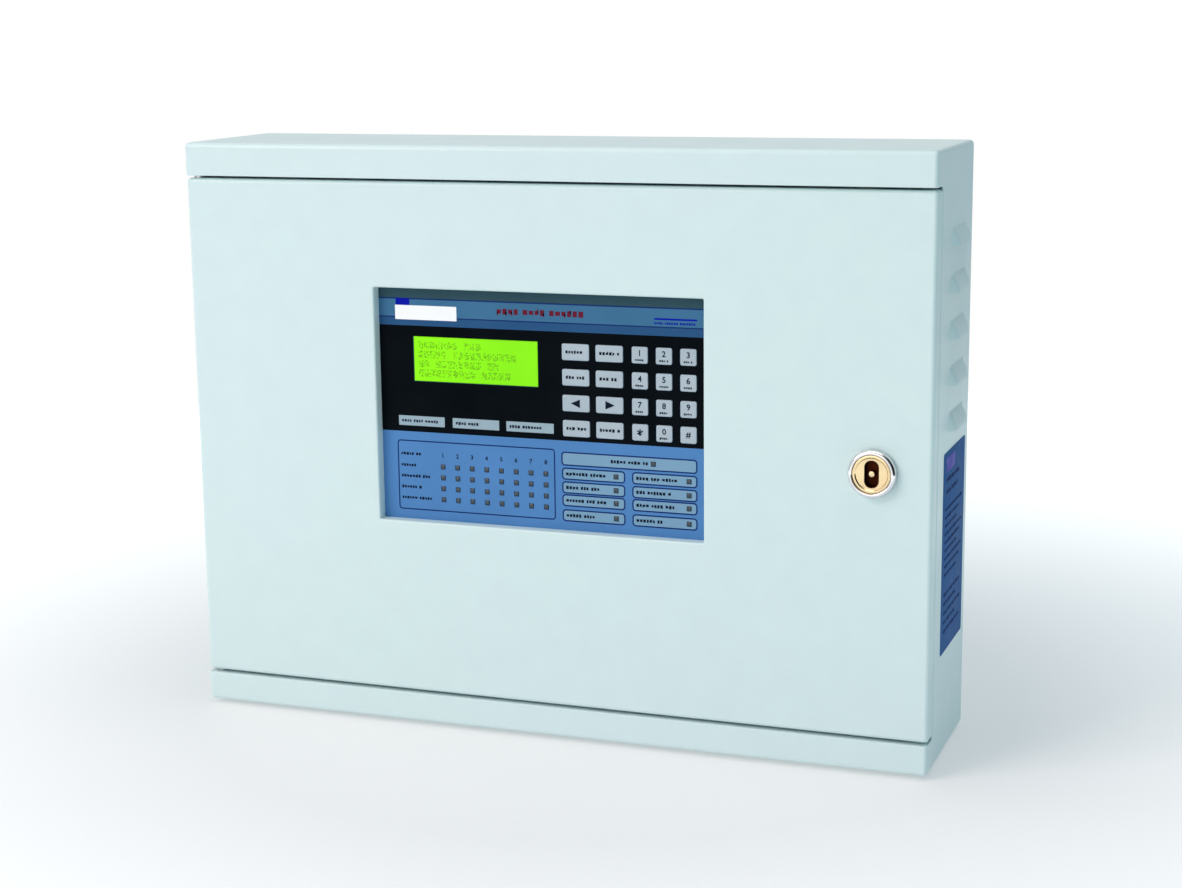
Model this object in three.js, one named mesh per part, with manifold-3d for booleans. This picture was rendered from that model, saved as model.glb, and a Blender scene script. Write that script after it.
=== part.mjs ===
// A conventional fire alarm control panel: a wall-hung folded steel box with a hood and a plinth, a door
// with a recessed membrane panel and a quarter-turn lock, and the boards, supply and batteries inside.
// Millimetres. +X is to the right seen from the front, +Y goes into the wall and +Z is up.
// The origin is the centre of the back face.

import * as THREE from 'three';
import { mergeVertices } from 'three/addons/utils/BufferGeometryUtils.js';
import Module from 'manifold-3d';

const wasm = await Module();
wasm.setup();

// ---- driving dimensions ----

const SHEET = 1.25;
const FIT = 0.3; // gap between a fixed piece and the hole that it sits in
const THROUGH = 1; // how far a cutter runs past the face that it cuts

const BOX = { width: 440, height: 336, depth: 100, bend: 3 };
const HOOD = { lip: 19, shelf: 20 };
const PLINTH = { lip: 17.25, shelf: 20 };
const DOOR = { gap: 1.5, setback: 1, depth: 11.5, bend: 1.25 };
const SIDE_FRONT_Y = -86;
const PIVOT = { x: -214, y: -93, pin: 2, hole: 2.08, collar: 3.5, head: 4 };

const LOUVRE = { length: 42, height: 10, proud: 4, round: 4, pitch: 25, top: 120, y: -40, count: 5 };
const SIDE_LABEL = { y: -40, z: -52.5, width: 60, height: 113, thick: 0.25, corner: 2 };
const KEYHOLE = { x: 160, z: 150, head: 4.5, slot: 2.5, rise: 9 };
const FIXING_HOLE = { x: 160, z: -60, radius: 3.5 };
const GROMMET = { x: [135, 185], y: -45, hole: 10, lip: 12.5, reach: 2, skin: 1 };

const WINDOW = { left: -102, top: 87.5, width: 196, height: 135, flange: 6.75 };
const FILM = { thick: 0.5, margin: 4 };
const PLATE = { thick: 1.5, margin: 10 };
const LCD = { left: 21, top: 28, width: 76.25, height: 26 };
const LCD_MODULE = { left: 10, top: 20, width: 98, height: 42, depth: 6 };
const LEGEND = { left: [10.7, 44.4, 77.5], top: 74.3, width: 28.7, height: 5.7 };
const KEY = { height: 9.25, narrow: 9.25, wide: 16, corner: 1, proud: 0.4, depth: 2 };
const KEY_STEM = { width: 4, length: 3.5 };
const KEY_ROWS = [33.1, 47.4, 62, 76.3];
const FUNCTION_COLUMNS = [119.8, 139.7];
const NUMBER_COLUMNS = [157.5, 171.5, 185.5];
const LED = { size: 2.5, slab: 2 };
const ZONE_LEDS = { left: 37.7, pitch: 9.05, columns: 8, rows: [103.3, 109.7, 116.1, 122.5] };
const STATUS_LEDS = { top: [165, 93.8], columns: [143, 185.7], rows: [102.4, 110.3, 117.7, 126.4] };
const DISPLAY_BOARD = { front: 8.5, thick: 1.5, margin: 3, switchSize: 6, switchHeight: 2.5 };
const DISPLAY_HEADER = { left: 6, width: 12, top: 34, height: 26, depth: 6 };
const SOUNDER = { u: 160, v: 40, radius: 11, height: 8 };
const STUD = { radius: 1.75, hole: 2.25, inset: 4, nut: 3.5, nutHeight: 2.5, tail: 13 };

const LOCK = {
  x: 188, z: -2, rim: 13.25, face: 10.5, faceBore: 10.6, barrel: 8.5, bore: 8.6, neck: 7, neckBore: 7.1,
  body: 10.5, proud: 5, seat: -1, length: 13, shoulder: 9.25, recess: 0.75,
};
const KEYWAY = { width: 8, height: 15, depth: 6, pin: 1.75, pinSet: 1 };
const CAM = { front: 15.75, thick: 2, width: 14, reach: 26, square: 7, screw: 5, screwHead: 2.75, shank: 2 };
const LOCK_NUT = { radius: 14, thick: 5 };
const STRIKE = { inner: 206, front: -85, back: -64, half: 20 };

const CHASSIS = { left: -200, right: 66, bottom: -48, top: 138, pillar: 3.5, pillarInset: 8, boardBack: -14 };
const MAIN_BOARD = { inset: 4, thick: 1.5 };
const TERMINAL = { pitch: 10, height: 12, depth: 12, entry: 5, entryDepth: 6 };
const RELAY = { width: 16, height: 24, depth: 14, gap: 4, count: 4 };
const SUPPLY = {
  left: 84, right: 196, bottom: -30, top: 120, depth: 40, slots: 6, slot: 4, slotPitch: 14, terminalStep: 15,
};
const BATTERY = { width: 151, depth: 65, height: 94, lid: 12, inset: 1, x: [-136.5, 20.5], y: -39.5 };
const BATTERY_TAB = { x: 55, y: -18, width: 5, thick: 1, height: 6 };
const STRAP = { height: 20, z: -125, right: 98, foot: 13 };
const RIBBON = { z: 27.5, width: 26, thick: 1, steps: 26 };
const ROUND = 24;

// ---- finishes ----

const PAINT = { color: 0xd6e6e9, roughness: 0.45, metalness: 0.1 };
const FILM_BLUE = { color: 0x5a8cc1, roughness: 0.35, metalness: 0 };
const LCD_GREEN = { color: 0x96ff05, roughness: 0.2, metalness: 0 };
const KEY_GREY = { color: 0xc8d6dc, roughness: 0.5, metalness: 0 };
const LEGEND_WHITE = { color: 0xbecddc, roughness: 0.6, metalness: 0 };
const LED_DARK = { color: 0x2a3a48, roughness: 0.3, metalness: 0 };
const LABEL_BLUE = { color: 0x4a6ca0, roughness: 0.5, metalness: 0 };
const CHROME = { color: 0xdfe3e6, roughness: 0.12, metalness: 1 };
const BRASS = { color: 0xebd7aa, roughness: 0.25, metalness: 1 };
const ZINC = { color: 0xb9bec2, roughness: 0.35, metalness: 1 };
const BOARD_GREEN = { color: 0x1f5a3a, roughness: 0.5, metalness: 0 };
const BLACK = { color: 0x18191b, roughness: 0.5, metalness: 0 };
const TERMINAL_GREEN = { color: 0x2f8f4e, roughness: 0.5, metalness: 0 };
const RELAY_BLUE = { color: 0x2a5fae, roughness: 0.45, metalness: 0 };
const SUPPLY_GREY = { color: 0xc4c8ca, roughness: 0.5, metalness: 0 };
const RIBBON_GREY = { color: 0x9fa6ab, roughness: 0.6, metalness: 0 };
const RED = { color: 0xb3261e, roughness: 0.5, metalness: 0 };

// ---- solids ----

// A closed geometry becomes a solid that can be cut and joined.
function solid(geometry) {
  const bare = new THREE.BufferGeometry();
  bare.setAttribute('position', geometry.attributes.position);
  bare.setIndex(geometry.index);
  const merged = mergeVertices(bare);
  return new wasm.Manifold(new wasm.Mesh({
    numProp: 3,
    vertProperties: new Float32Array(merged.attributes.position.array),
    triVerts: new Uint32Array(merged.index.array),
  }));
}

function geometryOf(body) {
  const mesh = body.getMesh();
  const geometry = new THREE.BufferGeometry();
  geometry.setAttribute('position', new THREE.BufferAttribute(mesh.vertProperties, 3));
  geometry.setIndex(new THREE.BufferAttribute(mesh.triVerts, 1));
  geometry.computeVertexNormals();
  return geometry;
}

function piece(name, body, finish) {
  const mesh = new THREE.Mesh(geometryOf(body), new THREE.MeshStandardMaterial(finish));
  mesh.name = name;
  return mesh;
}

function at(object, x, y, z) {
  object.position.set(x, y, z);
  return object;
}

function block([x0, x1], [y0, y1], [z0, z1]) {
  const geometry = new THREE.BoxGeometry(x1 - x0, y1 - y0, z1 - z0);
  geometry.translate((x0 + x1) / 2, (y0 + y1) / 2, (z0 + z1) / 2);
  return solid(geometry);
}

function extruded(shape, depth, options = {}) {
  return new THREE.ExtrudeGeometry(shape, { depth, bevelEnabled: false, curveSegments: 2, ...options });
}

// An outline drawn in X and Z, running from y0 to y1.
function alongY(shape, y0, y1, options) {
  const geometry = extruded(shape, y1 - y0, options);
  geometry.rotateX(Math.PI / 2);
  geometry.translate(0, y1, 0);
  return solid(geometry);
}

// An outline drawn in Y and Z, running from x0 to x1.
function alongX(shape, x0, x1, options) {
  const geometry = extruded(shape, x1 - x0, options);
  const turn = new THREE.Matrix4().makeBasis(
    new THREE.Vector3(0, 1, 0), new THREE.Vector3(0, 0, 1), new THREE.Vector3(1, 0, 0));
  geometry.applyMatrix4(turn);
  geometry.translate(x0, 0, 0);
  return solid(geometry);
}

// An outline drawn in X and Y, running from z0 to z1.
function alongZ(shape, z0, z1, options) {
  const geometry = extruded(shape, z1 - z0, options);
  geometry.translate(0, 0, z0);
  return solid(geometry);
}

// A turned piece whose profile lists [radius, distance along the Y axis].
function turned(profile, segments = ROUND) {
  const points = profile.map(([radius, y]) => new THREE.Vector2(radius, y));
  return solid(new THREE.LatheGeometry(points, segments));
}

function turnedAlongZ(profile, segments = ROUND) {
  const points = profile.map(([radius, z]) => new THREE.Vector2(radius, z));
  const geometry = new THREE.LatheGeometry(points, segments);
  geometry.rotateX(Math.PI / 2);
  return solid(geometry);
}

function rod(radius, y0, y1, segments = ROUND) {
  return turned([[0, y0], [radius, y0], [radius, y1], [0, y1]], segments);
}

function circle(x, z, radius) {
  const shape = new THREE.Shape();
  shape.absarc(x, z, radius, 0, Math.PI * 2);
  return shape;
}

function discAlongY(x, z, radius, y0, y1, sides = 12) {
  return alongY(circle(x, z, radius), y0, y1, { curveSegments: sides / 2 });
}

function discAlongZ(x, y, radius, z0, z1, sides = 12) {
  return alongZ(circle(x, y, radius), z0, z1, { curveSegments: sides / 2 });
}

function rectangle(x0, x1, z0, z1) {
  return polygon([[x0, z0], [x1, z0], [x1, z1], [x0, z1]]);
}

function roundedRectangle(x0, x1, z0, z1, r) {
  const shape = new THREE.Shape();
  shape.absarc(x1 - r, z1 - r, r, 0, Math.PI / 2);
  shape.absarc(x0 + r, z1 - r, r, Math.PI / 2, Math.PI);
  shape.absarc(x0 + r, z0 + r, r, Math.PI, Math.PI * 1.5);
  shape.absarc(x1 - r, z0 + r, r, Math.PI * 1.5, Math.PI * 2);
  return shape;
}

function polygon(points) {
  return new THREE.Shape(points.map(([x, y]) => new THREE.Vector2(x, y)));
}

// A band of even thickness that follows a smooth curve through the given points.
function band(points, thickness, steps) {
  const curve = new THREE.CatmullRomCurve3(points.map(([x, y]) => new THREE.Vector3(x, y, 0)));
  const left = [];
  const right = [];
  for (let i = 0; i <= steps; i += 1) {
    const point = curve.getPoint(i / steps);
    const along = curve.getTangent(i / steps);
    left.push([point.x - along.y * thickness / 2, point.y + along.x * thickness / 2]);
    right.unshift([point.x + along.y * thickness / 2, point.y - along.x * thickness / 2]);
  }
  return polygon([...right, ...left]);
}

// ---- shared levels ----

const HALF_W = BOX.width / 2;
const HALF_H = BOX.height / 2;
const INNER_X = HALF_W - SHEET;
const INNER_Z = HALF_H - SHEET;
const BACK_Y = -SHEET; // inner face of the back wall
const HOOD_Z = HALF_H - HOOD.lip;
const PLINTH_Z = PLINTH.lip - HALF_H;
const DOOR_TOP = HOOD_Z - DOOR.gap;
const DOOR_BOTTOM = PLINTH_Z + DOOR.gap;
const DOOR_Y = DOOR.setback - BOX.depth;

// ---- enclosure ----

// A pressed louvre, flat and open below. The outer form has no inset; the hollow has the sheet's thickness.
function louvre(inset) {
  const half = LOUVRE.length / 2 - LOUVRE.round;
  const top = LOUVRE.height / 2 - LOUVRE.round;
  const outline = roundedRectangle(-half, half, -LOUVRE.height * 2, top, 1);
  const rise = LOUVRE.proud - LOUVRE.round;
  const options = {
    bevelEnabled: true, bevelThickness: LOUVRE.round - inset, bevelSize: LOUVRE.round - inset,
    bevelSegments: 2, curveSegments: 1,
  };
  const form = alongX(outline, -SHEET * 5, rise, options);
  const inside = inset > 0 ? -SHEET - THROUGH : -SHEET / 2;
  const y = [-LOUVRE.length, LOUVRE.length];
  return form.intersect(block([inside, LOUVRE.proud * 2], y, [-LOUVRE.height / 2, LOUVRE.height]));
}

function louvreAt(inset, side, z) {
  const geometry = geometryOf(louvre(inset));
  geometry.rotateZ(side > 0 ? 0 : Math.PI);
  geometry.translate(side * HALF_W, LOUVRE.y, z);
  return solid(geometry);
}

function withLouvres(body) {
  let shell = body;
  for (const side of [1, -1]) {
    for (let i = 0; i < LOUVRE.count; i += 1) {
      const z = LOUVRE.top - i * LOUVRE.pitch;
      shell = shell.add(louvreAt(0, side, z)).subtract(louvreAt(SHEET, side, z));
    }
  }
  return shell;
}

function keyhole(x) {
  const head = discAlongY(x, KEYHOLE.z, KEYHOLE.head, BACK_Y - THROUGH, THROUGH, 16);
  const { z, slot: half, rise } = KEYHOLE;
  const slot = roundedRectangle(x - half, x + half, z, z + rise, half - 0.1);
  return head.add(alongY(slot, BACK_Y - THROUGH, THROUGH));
}

function enclosureBody() {
  const outer = roundedRectangle(-BOX.depth, 0, -HALF_H, HALF_H, BOX.bend);
  const inner = roundedRectangle(SHEET - BOX.depth, BACK_Y, -INNER_Z, INNER_Z, BOX.bend - SHEET);
  let body = alongX(outer, -HALF_W, HALF_W).subtract(alongX(inner, -INNER_X, INNER_X));
  body = body.subtract(block(
    [-HALF_W - THROUGH, HALF_W + THROUGH], [-BOX.depth - THROUGH, SIDE_FRONT_Y], [PLINTH_Z, HOOD_Z]));
  const lipInside = SHEET - BOX.depth;
  const shelves = [[HOOD_Z, HOOD_Z + SHEET, HOOD.shelf], [PLINTH_Z - SHEET, PLINTH_Z, PLINTH.shelf]];
  for (const [low, high, depth] of shelves) {
    const shelf = block([-INNER_X, INNER_X], [lipInside, -BOX.depth + depth], [low, high]);
    const hole = discAlongZ(PIVOT.x, PIVOT.y, PIVOT.hole, low - THROUGH, high + THROUGH, 32);
    body = body.add(shelf).subtract(hole);
  }
  body = withLouvres(body);
  for (const side of [1, -1]) {
    const { x, z, radius } = FIXING_HOLE;
    const fixing = discAlongY(side * x, z, radius, BACK_Y - THROUGH, THROUGH);
    body = body.subtract(keyhole(side * KEYHOLE.x)).subtract(fixing);
  }
  for (const x of GROMMET.x) {
    body = body.subtract(discAlongZ(x, GROMMET.y, GROMMET.hole, -HALF_H - THROUGH, -INNER_Z + THROUGH, 16));
  }
  return piece('enclosure_body', body, PAINT);
}

// A closed-membrane grommet: two lips with the sheet between them and a thin skin across the middle.
function grommet(name, x) {
  const { hole, lip, reach, skin } = GROMMET;
  const neck = hole - FIT;
  const wall = 3;
  const body = turnedAlongZ([
    [0, 0], [neck - wall, 0], [neck - wall, -reach], [lip, -reach], [lip, 0], [neck, 0], [neck, SHEET],
    [lip, SHEET], [lip, SHEET + reach], [neck - wall, SHEET + reach], [neck - wall, skin], [0, skin],
  ], 16);
  return at(piece(name, body, BLACK), x, GROMMET.y, -HALF_H);
}

function sideLabel() {
  const { y, z, width, height, thick, corner } = SIDE_LABEL;
  const outline = roundedRectangle(-width / 2, width / 2, -height / 2, height / 2, corner);
  return at(piece('side_label', alongX(outline, 0, thick), LABEL_BLUE), HALF_W, y, z);
}

// An angle on the right wall: the cam turns behind its free leg.
function lockStrike() {
  const { inner, front, back, half } = STRIKE;
  const angle = polygon([
    [inner, front], [INNER_X, front], [INNER_X, back], [INNER_X - SHEET, back],
    [INNER_X - SHEET, front + SHEET], [inner, front + SHEET],
  ]);
  return piece('lock_strike', alongZ(angle, LOCK.z - half, LOCK.z + half), ZINC);
}

// ---- main electronics ----

function chassisPlate() {
  const { left, right, bottom, top, pillar, pillarInset, boardBack } = CHASSIS;
  let body = block([left, right], [BACK_Y - SHEET, BACK_Y], [bottom, top]);
  for (const x of [left + pillarInset, right - pillarInset]) {
    for (const z of [bottom + pillarInset, top - pillarInset]) {
      body = body.add(discAlongY(x, z, pillar, boardBack, BACK_Y - SHEET / 2));
    }
  }
  return piece('chassis_plate', body, ZINC);
}

function mainBoard() {
  const { left, right, bottom, top, boardBack } = CHASSIS;
  const { inset, thick } = MAIN_BOARD;
  const outline = roundedRectangle(left + inset, right - inset, bottom + inset, top - inset, 2);
  return piece('main_circuit_board', alongY(outline, boardBack - thick, boardBack), BOARD_GREEN);
}

const BOARD_FRONT = CHASSIS.boardBack - MAIN_BOARD.thick;

function onBoard(name, body, finish, x, z) {
  return at(piece(name, body, finish), x, BOARD_FRONT, z);
}

function processor() {
  const chip = block([-15, 15], [-3.5, 0], [-15, 15]).subtract(discAlongY(-11, 11, 1.5, -5, -3));
  return onBoard('processor', chip, BLACK, -75, 45);
}

// A row of screw terminals: each way has a wire entry on top and a screw well in front.
function terminalRow(ways) {
  const { pitch, height, depth, entry, entryDepth } = TERMINAL;
  let body = block([0, ways * pitch], [-depth, 0], [0, height]);
  for (let i = 0; i < ways; i += 1) {
    const x = (i + 0.5) * pitch;
    const wire = block(
      [x - entry / 2, x + entry / 2], [-depth / 2 - entry / 2, -depth / 2 + entry / 2],
      [height - entryDepth / 2, height + THROUGH]);
    const screw = discAlongY(x, height / 3, entry / 2, -depth - THROUGH, -depth + entryDepth / 2, 6);
    body = body.subtract(wire).subtract(screw);
  }
  return body;
}

function relayBank() {
  const { width, height, depth, gap, count } = RELAY;
  const step = width + gap;
  let body = block([0, step * count - gap], [-1, 0], [0, height]);
  for (let i = 0; i < count; i += 1) {
    body = body.add(block([i * step, i * step + width], [-depth, -0.5], [0, height]));
  }
  return onBoard('relay_bank', body, RELAY_BLUE, -30, 74);
}

function ribbonSocket() {
  const body = block([-7, 7], [-8, 0], [-15, 15]).subtract(block([-3, 3], [-9, -3], [-13.5, 13.5]));
  return onBoard('ribbon_socket', body, BLACK, -150, 40.5);
}

function powerSupply() {
  const { left, right, bottom, top, depth, slots, slot, slotPitch, terminalStep } = SUPPLY;
  const front = BACK_Y - depth;
  let body = block([left, right], [front, BACK_Y], [bottom, top]);
  for (let i = 0; i < slots; i += 1) {
    const z = top - 25 - i * slotPitch;
    body = body.subtract(block([left + 20, right - 20], [front - THROUGH, front + 2], [z - slot, z]));
  }
  const step = [bottom - THROUGH, bottom + terminalStep];
  const across = [left - THROUGH, right + THROUGH];
  body = body.subtract(block(across, [front - THROUGH, front + terminalStep], step));
  return piece('power_supply', body, SUPPLY_GREY);
}

function battery(name, x) {
  const { width, depth, height, lid, inset, y } = BATTERY;
  let body = block([-width / 2, width / 2], [-depth / 2, depth / 2], [0, height - lid]);
  const lidBox = [-width / 2 + inset, width / 2 - inset];
  body = body.add(block(lidBox, [-depth / 2 + inset, depth / 2 - inset], [height - lid - inset, height]));
  for (const side of [-1, 1]) {
    const { x: tabX, y: tabY, width: tabWidth, thick, height: tabHeight } = BATTERY_TAB;
    const tab = [side * tabX - tabWidth / 2, side * tabX + tabWidth / 2];
    body = body.add(block(tab, [tabY - thick / 2, tabY + thick / 2], [height - inset, height + tabHeight]));
  }
  return at(piece(name, body, BLACK), x, y, -INNER_Z);
}

// A folded strap that holds both batteries against the back.
function batteryStrap() {
  const front = BATTERY.y - BATTERY.depth / 2;
  const { right, foot, z, height } = STRAP;
  const outline = polygon([
    [-INNER_X, front - SHEET], [right + SHEET, front - SHEET], [right + SHEET, BACK_Y - SHEET],
    [right + SHEET + foot, BACK_Y - SHEET], [right + SHEET + foot, BACK_Y], [right, BACK_Y], [right, front],
    [-INNER_X + SHEET, front], [-INNER_X + SHEET, front + 30], [-INNER_X, front + 30],
  ]);
  return piece('battery_strap', alongZ(outline, z, z + height), ZINC);
}

// The series link between the facing terminals of the two batteries.
function batteryLink() {
  const tabTop = BATTERY.height - INNER_Z + BATTERY_TAB.height;
  const clear = BATTERY_TAB.x + BATTERY_TAB.width / 2 + 1.25;
  const start = BATTERY.x[0] + clear;
  const end = BATTERY.x[1] - clear;
  const y = BATTERY.y + BATTERY_TAB.y;
  const path = new THREE.CatmullRomCurve3([
    new THREE.Vector3(start, y, tabTop - 3), new THREE.Vector3(start + 6, y, tabTop + 1),
    new THREE.Vector3((start + end) / 2, y - 4, tabTop + 5), new THREE.Vector3(end - 6, y, tabTop + 1),
    new THREE.Vector3(end, y, tabTop - 3),
  ]);
  const options = { steps: 14, curveSegments: 3, extrudePath: path };
  return piece('battery_link_wire', solid(new THREE.ExtrudeGeometry(circle(0, 0, 1.5), options)), RED);
}

function mainsParts() {
  const fuse = turned([[0, -30], [5.5, -30], [5.5, -22], [7, -22], [7, 0], [0, 0]], 20);
  const stud = turned([[0, -16], [2.5, -16], [2.5, -9], [6, -9], [6, -4], [8, -4], [8, 0], [0, 0]], 6);
  return [
    at(piece('mains_terminals', terminalRow(4), BLACK), 158, BACK_Y, -125),
    at(piece('mains_fuse_holder', fuse, BLACK), 130, BACK_Y, -116),
    at(piece('earth_stud', stud, BRASS), 182, BACK_Y, -85),
  ];
}

// The flat cable leaves the door's board, loops past the hinge side and comes to the main board.
function ribbonCable() {
  const route = [
    [-96.5, -79.5], [-120, -79.5], [-150, -79.5], [-180, -78], [-203, -66],
    [-205, -48], [-186, -38], [-162, -35.5], [-151, -31], [-150, -24],
  ];
  const outline = band(route, RIBBON.thick, RIBBON.steps);
  return piece('display_ribbon_cable', alongZ(outline, RIBBON.z, RIBBON.z + RIBBON.width), RIBBON_GREY);
}

// ---- door: y counts back from the door's front face ----

function stud(x, z) {
  const nutFront = WINDOW.flange + FILM.thick + PLATE.thick;
  const shank = discAlongY(x, z, STUD.radius, SHEET / 2, STUD.tail, 8);
  return shank.add(discAlongY(x, z, STUD.nut, nutFront, nutFront + STUD.nutHeight, 6));
}

function doorPanel() {
  const { depth, bend } = DOOR;
  const face = rectangle(bend - HALF_W, HALF_W - bend, DOOR_BOTTOM + bend, DOOR_TOP - bend);
  const folded = { bevelEnabled: true, bevelThickness: bend, bevelSize: bend, bevelSegments: 2 };
  let body = alongY(face, bend, depth + bend, folded);
  body = body.subtract(block([-HALF_W - THROUGH, HALF_W + THROUGH], [depth, depth * 2], [-HALF_H, HALF_H]));
  const inside = [DOOR_BOTTOM + SHEET, DOOR_TOP - SHEET];
  body = body.subtract(block([-INNER_X, INNER_X], [SHEET, depth + THROUGH], inside));
  const x = [WINDOW.left, WINDOW.left + WINDOW.width];
  const z = [WINDOW.top - WINDOW.height, WINDOW.top];
  const y = [SHEET / 2, WINDOW.flange];
  const flange = block([x[0] - SHEET, x[1] + SHEET], y, [z[0] - SHEET, z[1] + SHEET]);
  body = body.add(flange).subtract(block(x, [-THROUGH, WINDOW.flange + THROUGH], z));
  for (const studX of [x[0] - PLATE.margin + STUD.inset, x[1] + PLATE.margin - STUD.inset]) {
    for (const studZ of [z[0] - PLATE.margin + STUD.inset, z[1] + PLATE.margin - STUD.inset]) {
      body = body.add(stud(studX, studZ));
    }
  }
  body = body.subtract(discAlongY(LOCK.x, LOCK.z, LOCK.body + FIT, -THROUGH, SHEET + THROUGH, 24));
  for (const edge of [DOOR_TOP, DOOR_BOTTOM]) {
    const reach = SHEET * 2;
    body = body.subtract(discAlongZ(PIVOT.x, PIVOT.y - DOOR_Y, PIVOT.pin + FIT, edge - reach, edge + reach));
  }
  return piece('door_panel', body, PAINT);
}

// A headed pin through the door's edge: the collar bears on the shelf and the tip turns in its hole.
function hingePin(name, edge, up) {
  const { pin, collar, head } = PIVOT;
  const profile = [
    [0, -5], [head, -5], [head, -SHEET], [pin, -SHEET], [pin, 0], [collar, 0],
    [collar, DOOR.gap - 0.25], [pin, DOOR.gap - 0.25], [pin, 6], [0, 6],
  ];
  const side = up ? profile : profile.map(([radius, z]) => [radius, -z]).reverse();
  return at(piece(name, turnedAlongZ(side, 24), ZINC), PIVOT.x, PIVOT.y - DOOR_Y, edge);
}

// ---- membrane panel: u runs right and v runs down from the window's top left corner ----

function hole(u, v, width, height, grow) {
  return block(
    [u - width / 2 - grow, u + width / 2 + grow], [-THROUGH, PLATE_BACK + THROUGH],
    [-v - height / 2 - grow, -v + height / 2 + grow]);
}

function cutAll(body, cutters) {
  return cutters.reduce((left, cutter) => left.subtract(cutter), body);
}

function keyLayout() {
  const keys = [];
  const functions = ['menu', 'back', 'enter', 'help', 'left', 'right', 'silence', 'reset'];
  const numbers = ['1', '2', '3', '4', '5', '6', '7', '8', '9', 'star', '0', 'hash'];
  functions.forEach((label, i) => keys.push({
    name: `key_${label}`, u: FUNCTION_COLUMNS[i % 2], v: KEY_ROWS[Math.floor(i / 2)], width: KEY.wide,
  }));
  numbers.forEach((label, i) => keys.push({
    name: `key_${label}`, u: NUMBER_COLUMNS[i % 3], v: KEY_ROWS[Math.floor(i / 3)], width: KEY.narrow,
  }));
  return keys;
}

function zoneLeds() {
  const leds = [];
  for (const v of ZONE_LEDS.rows) {
    for (let i = 0; i < ZONE_LEDS.columns; i += 1) {
      leds.push([ZONE_LEDS.left + i * ZONE_LEDS.pitch, v]);
    }
  }
  return leds;
}

function statusLeds() {
  const leds = [STATUS_LEDS.top];
  for (const u of STATUS_LEDS.columns) {
    for (const v of STATUS_LEDS.rows) {
      leds.push([u, v]);
    }
  }
  return leds;
}

const PLATE_BACK = FILM.thick + PLATE.thick;
const KEYS = keyLayout();
const LCD_CENTRE = [LCD.left + LCD.width / 2, LCD.top + LCD.height / 2];
const LEGEND_CENTRES = LEGEND.left.map((left) => [left + LEGEND.width / 2, LEGEND.top + LEGEND.height / 2]);

function holesFor(leds) {
  return leds.map(([u, v]) => hole(u, v, LED.size, LED.size, FIT / 2));
}

function keyAndScreenHoles() {
  const holes = KEYS.map((key) => hole(key.u, key.v, key.width, KEY.height, FIT));
  holes.push(hole(...LCD_CENTRE, LCD.width, LCD.height, FIT));
  return holes;
}

function overlayFilm() {
  const m = FILM.margin;
  const sheet = block([-m, WINDOW.width + m], [0, FILM.thick], [-WINDOW.height - m, m]);
  const legends = LEGEND_CENTRES.map(([u, v]) => hole(u, v, LEGEND.width, LEGEND.height, FIT / 2));
  const leds = [...holesFor(zoneLeds()), ...holesFor(statusLeds())];
  return piece('overlay_film', cutAll(sheet, [...keyAndScreenHoles(), ...legends, ...leds]), FILM_BLUE);
}

// The plate has one slot for each row of zone indicators and each column of status indicators.
function ledSlots() {
  const size = LED.size;
  const zoneLength = (ZONE_LEDS.columns - 1) * ZONE_LEDS.pitch;
  const zoneMiddle = ZONE_LEDS.left + zoneLength / 2;
  const slots = ZONE_LEDS.rows.map((v) => hole(zoneMiddle, v, zoneLength + size, size, FIT));
  const [first, , , last] = STATUS_LEDS.rows;
  const columns = STATUS_LEDS.columns.map((u) => hole(u, (first + last) / 2, size, last - first + size, FIT));
  return [...slots, ...columns, hole(...STATUS_LEDS.top, size, size, FIT)];
}

const LEGEND_SLOT = {
  u: (LEGEND.left[0] + LEGEND.left[2] + LEGEND.width) / 2,
  v: LEGEND.top + LEGEND.height / 2,
  width: LEGEND.left[2] - LEGEND.left[0] + LEGEND.width + 4,
  height: LEGEND.height + 4,
};

function displayPlate() {
  const m = PLATE.margin;
  const sheet = block([-m, WINDOW.width + m], [FILM.thick, PLATE_BACK], [-WINDOW.height - m, m]);
  const cutters = [...keyAndScreenHoles(), ...ledSlots()];
  cutters.push(hole(LEGEND_SLOT.u, LEGEND_SLOT.v, LEGEND_SLOT.width, LEGEND_SLOT.height, FIT));
  for (const u of [STUD.inset - m, WINDOW.width + m - STUD.inset]) {
    for (const v of [STUD.inset - m, WINDOW.height + m - STUD.inset]) {
      cutters.push(discAlongY(u, -v, STUD.hole, 0, PLATE_BACK + THROUGH));
    }
  }
  let body = cutAll(sheet, cutters);
  for (const u of [3, WINDOW.width - 3]) {
    for (const v of [3, WINDOW.height - 3]) {
      body = body.add(discAlongY(u, -v, 2.5, PLATE_BACK - 0.5, DISPLAY_BOARD.front, 6));
    }
  }
  return piece('display_plate', body, ZINC);
}

function legendCard() {
  const { u, v, width, height } = LEGEND_SLOT;
  const across = [u - width / 2, u + width / 2];
  let body = block(across, [FILM.thick, PLATE_BACK], [-v - height / 2, -v + height / 2]);
  for (const [centreU, centreV] of LEGEND_CENTRES) {
    const window = rectangle(
      centreU - LEGEND.width / 2, centreU + LEGEND.width / 2, -centreV - LEGEND.height / 2,
      -centreV + LEGEND.height / 2);
    body = body.add(alongY(window, 0, FILM.thick + 0.25));
  }
  return piece('legend_card', body, LEGEND_WHITE);
}

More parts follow.
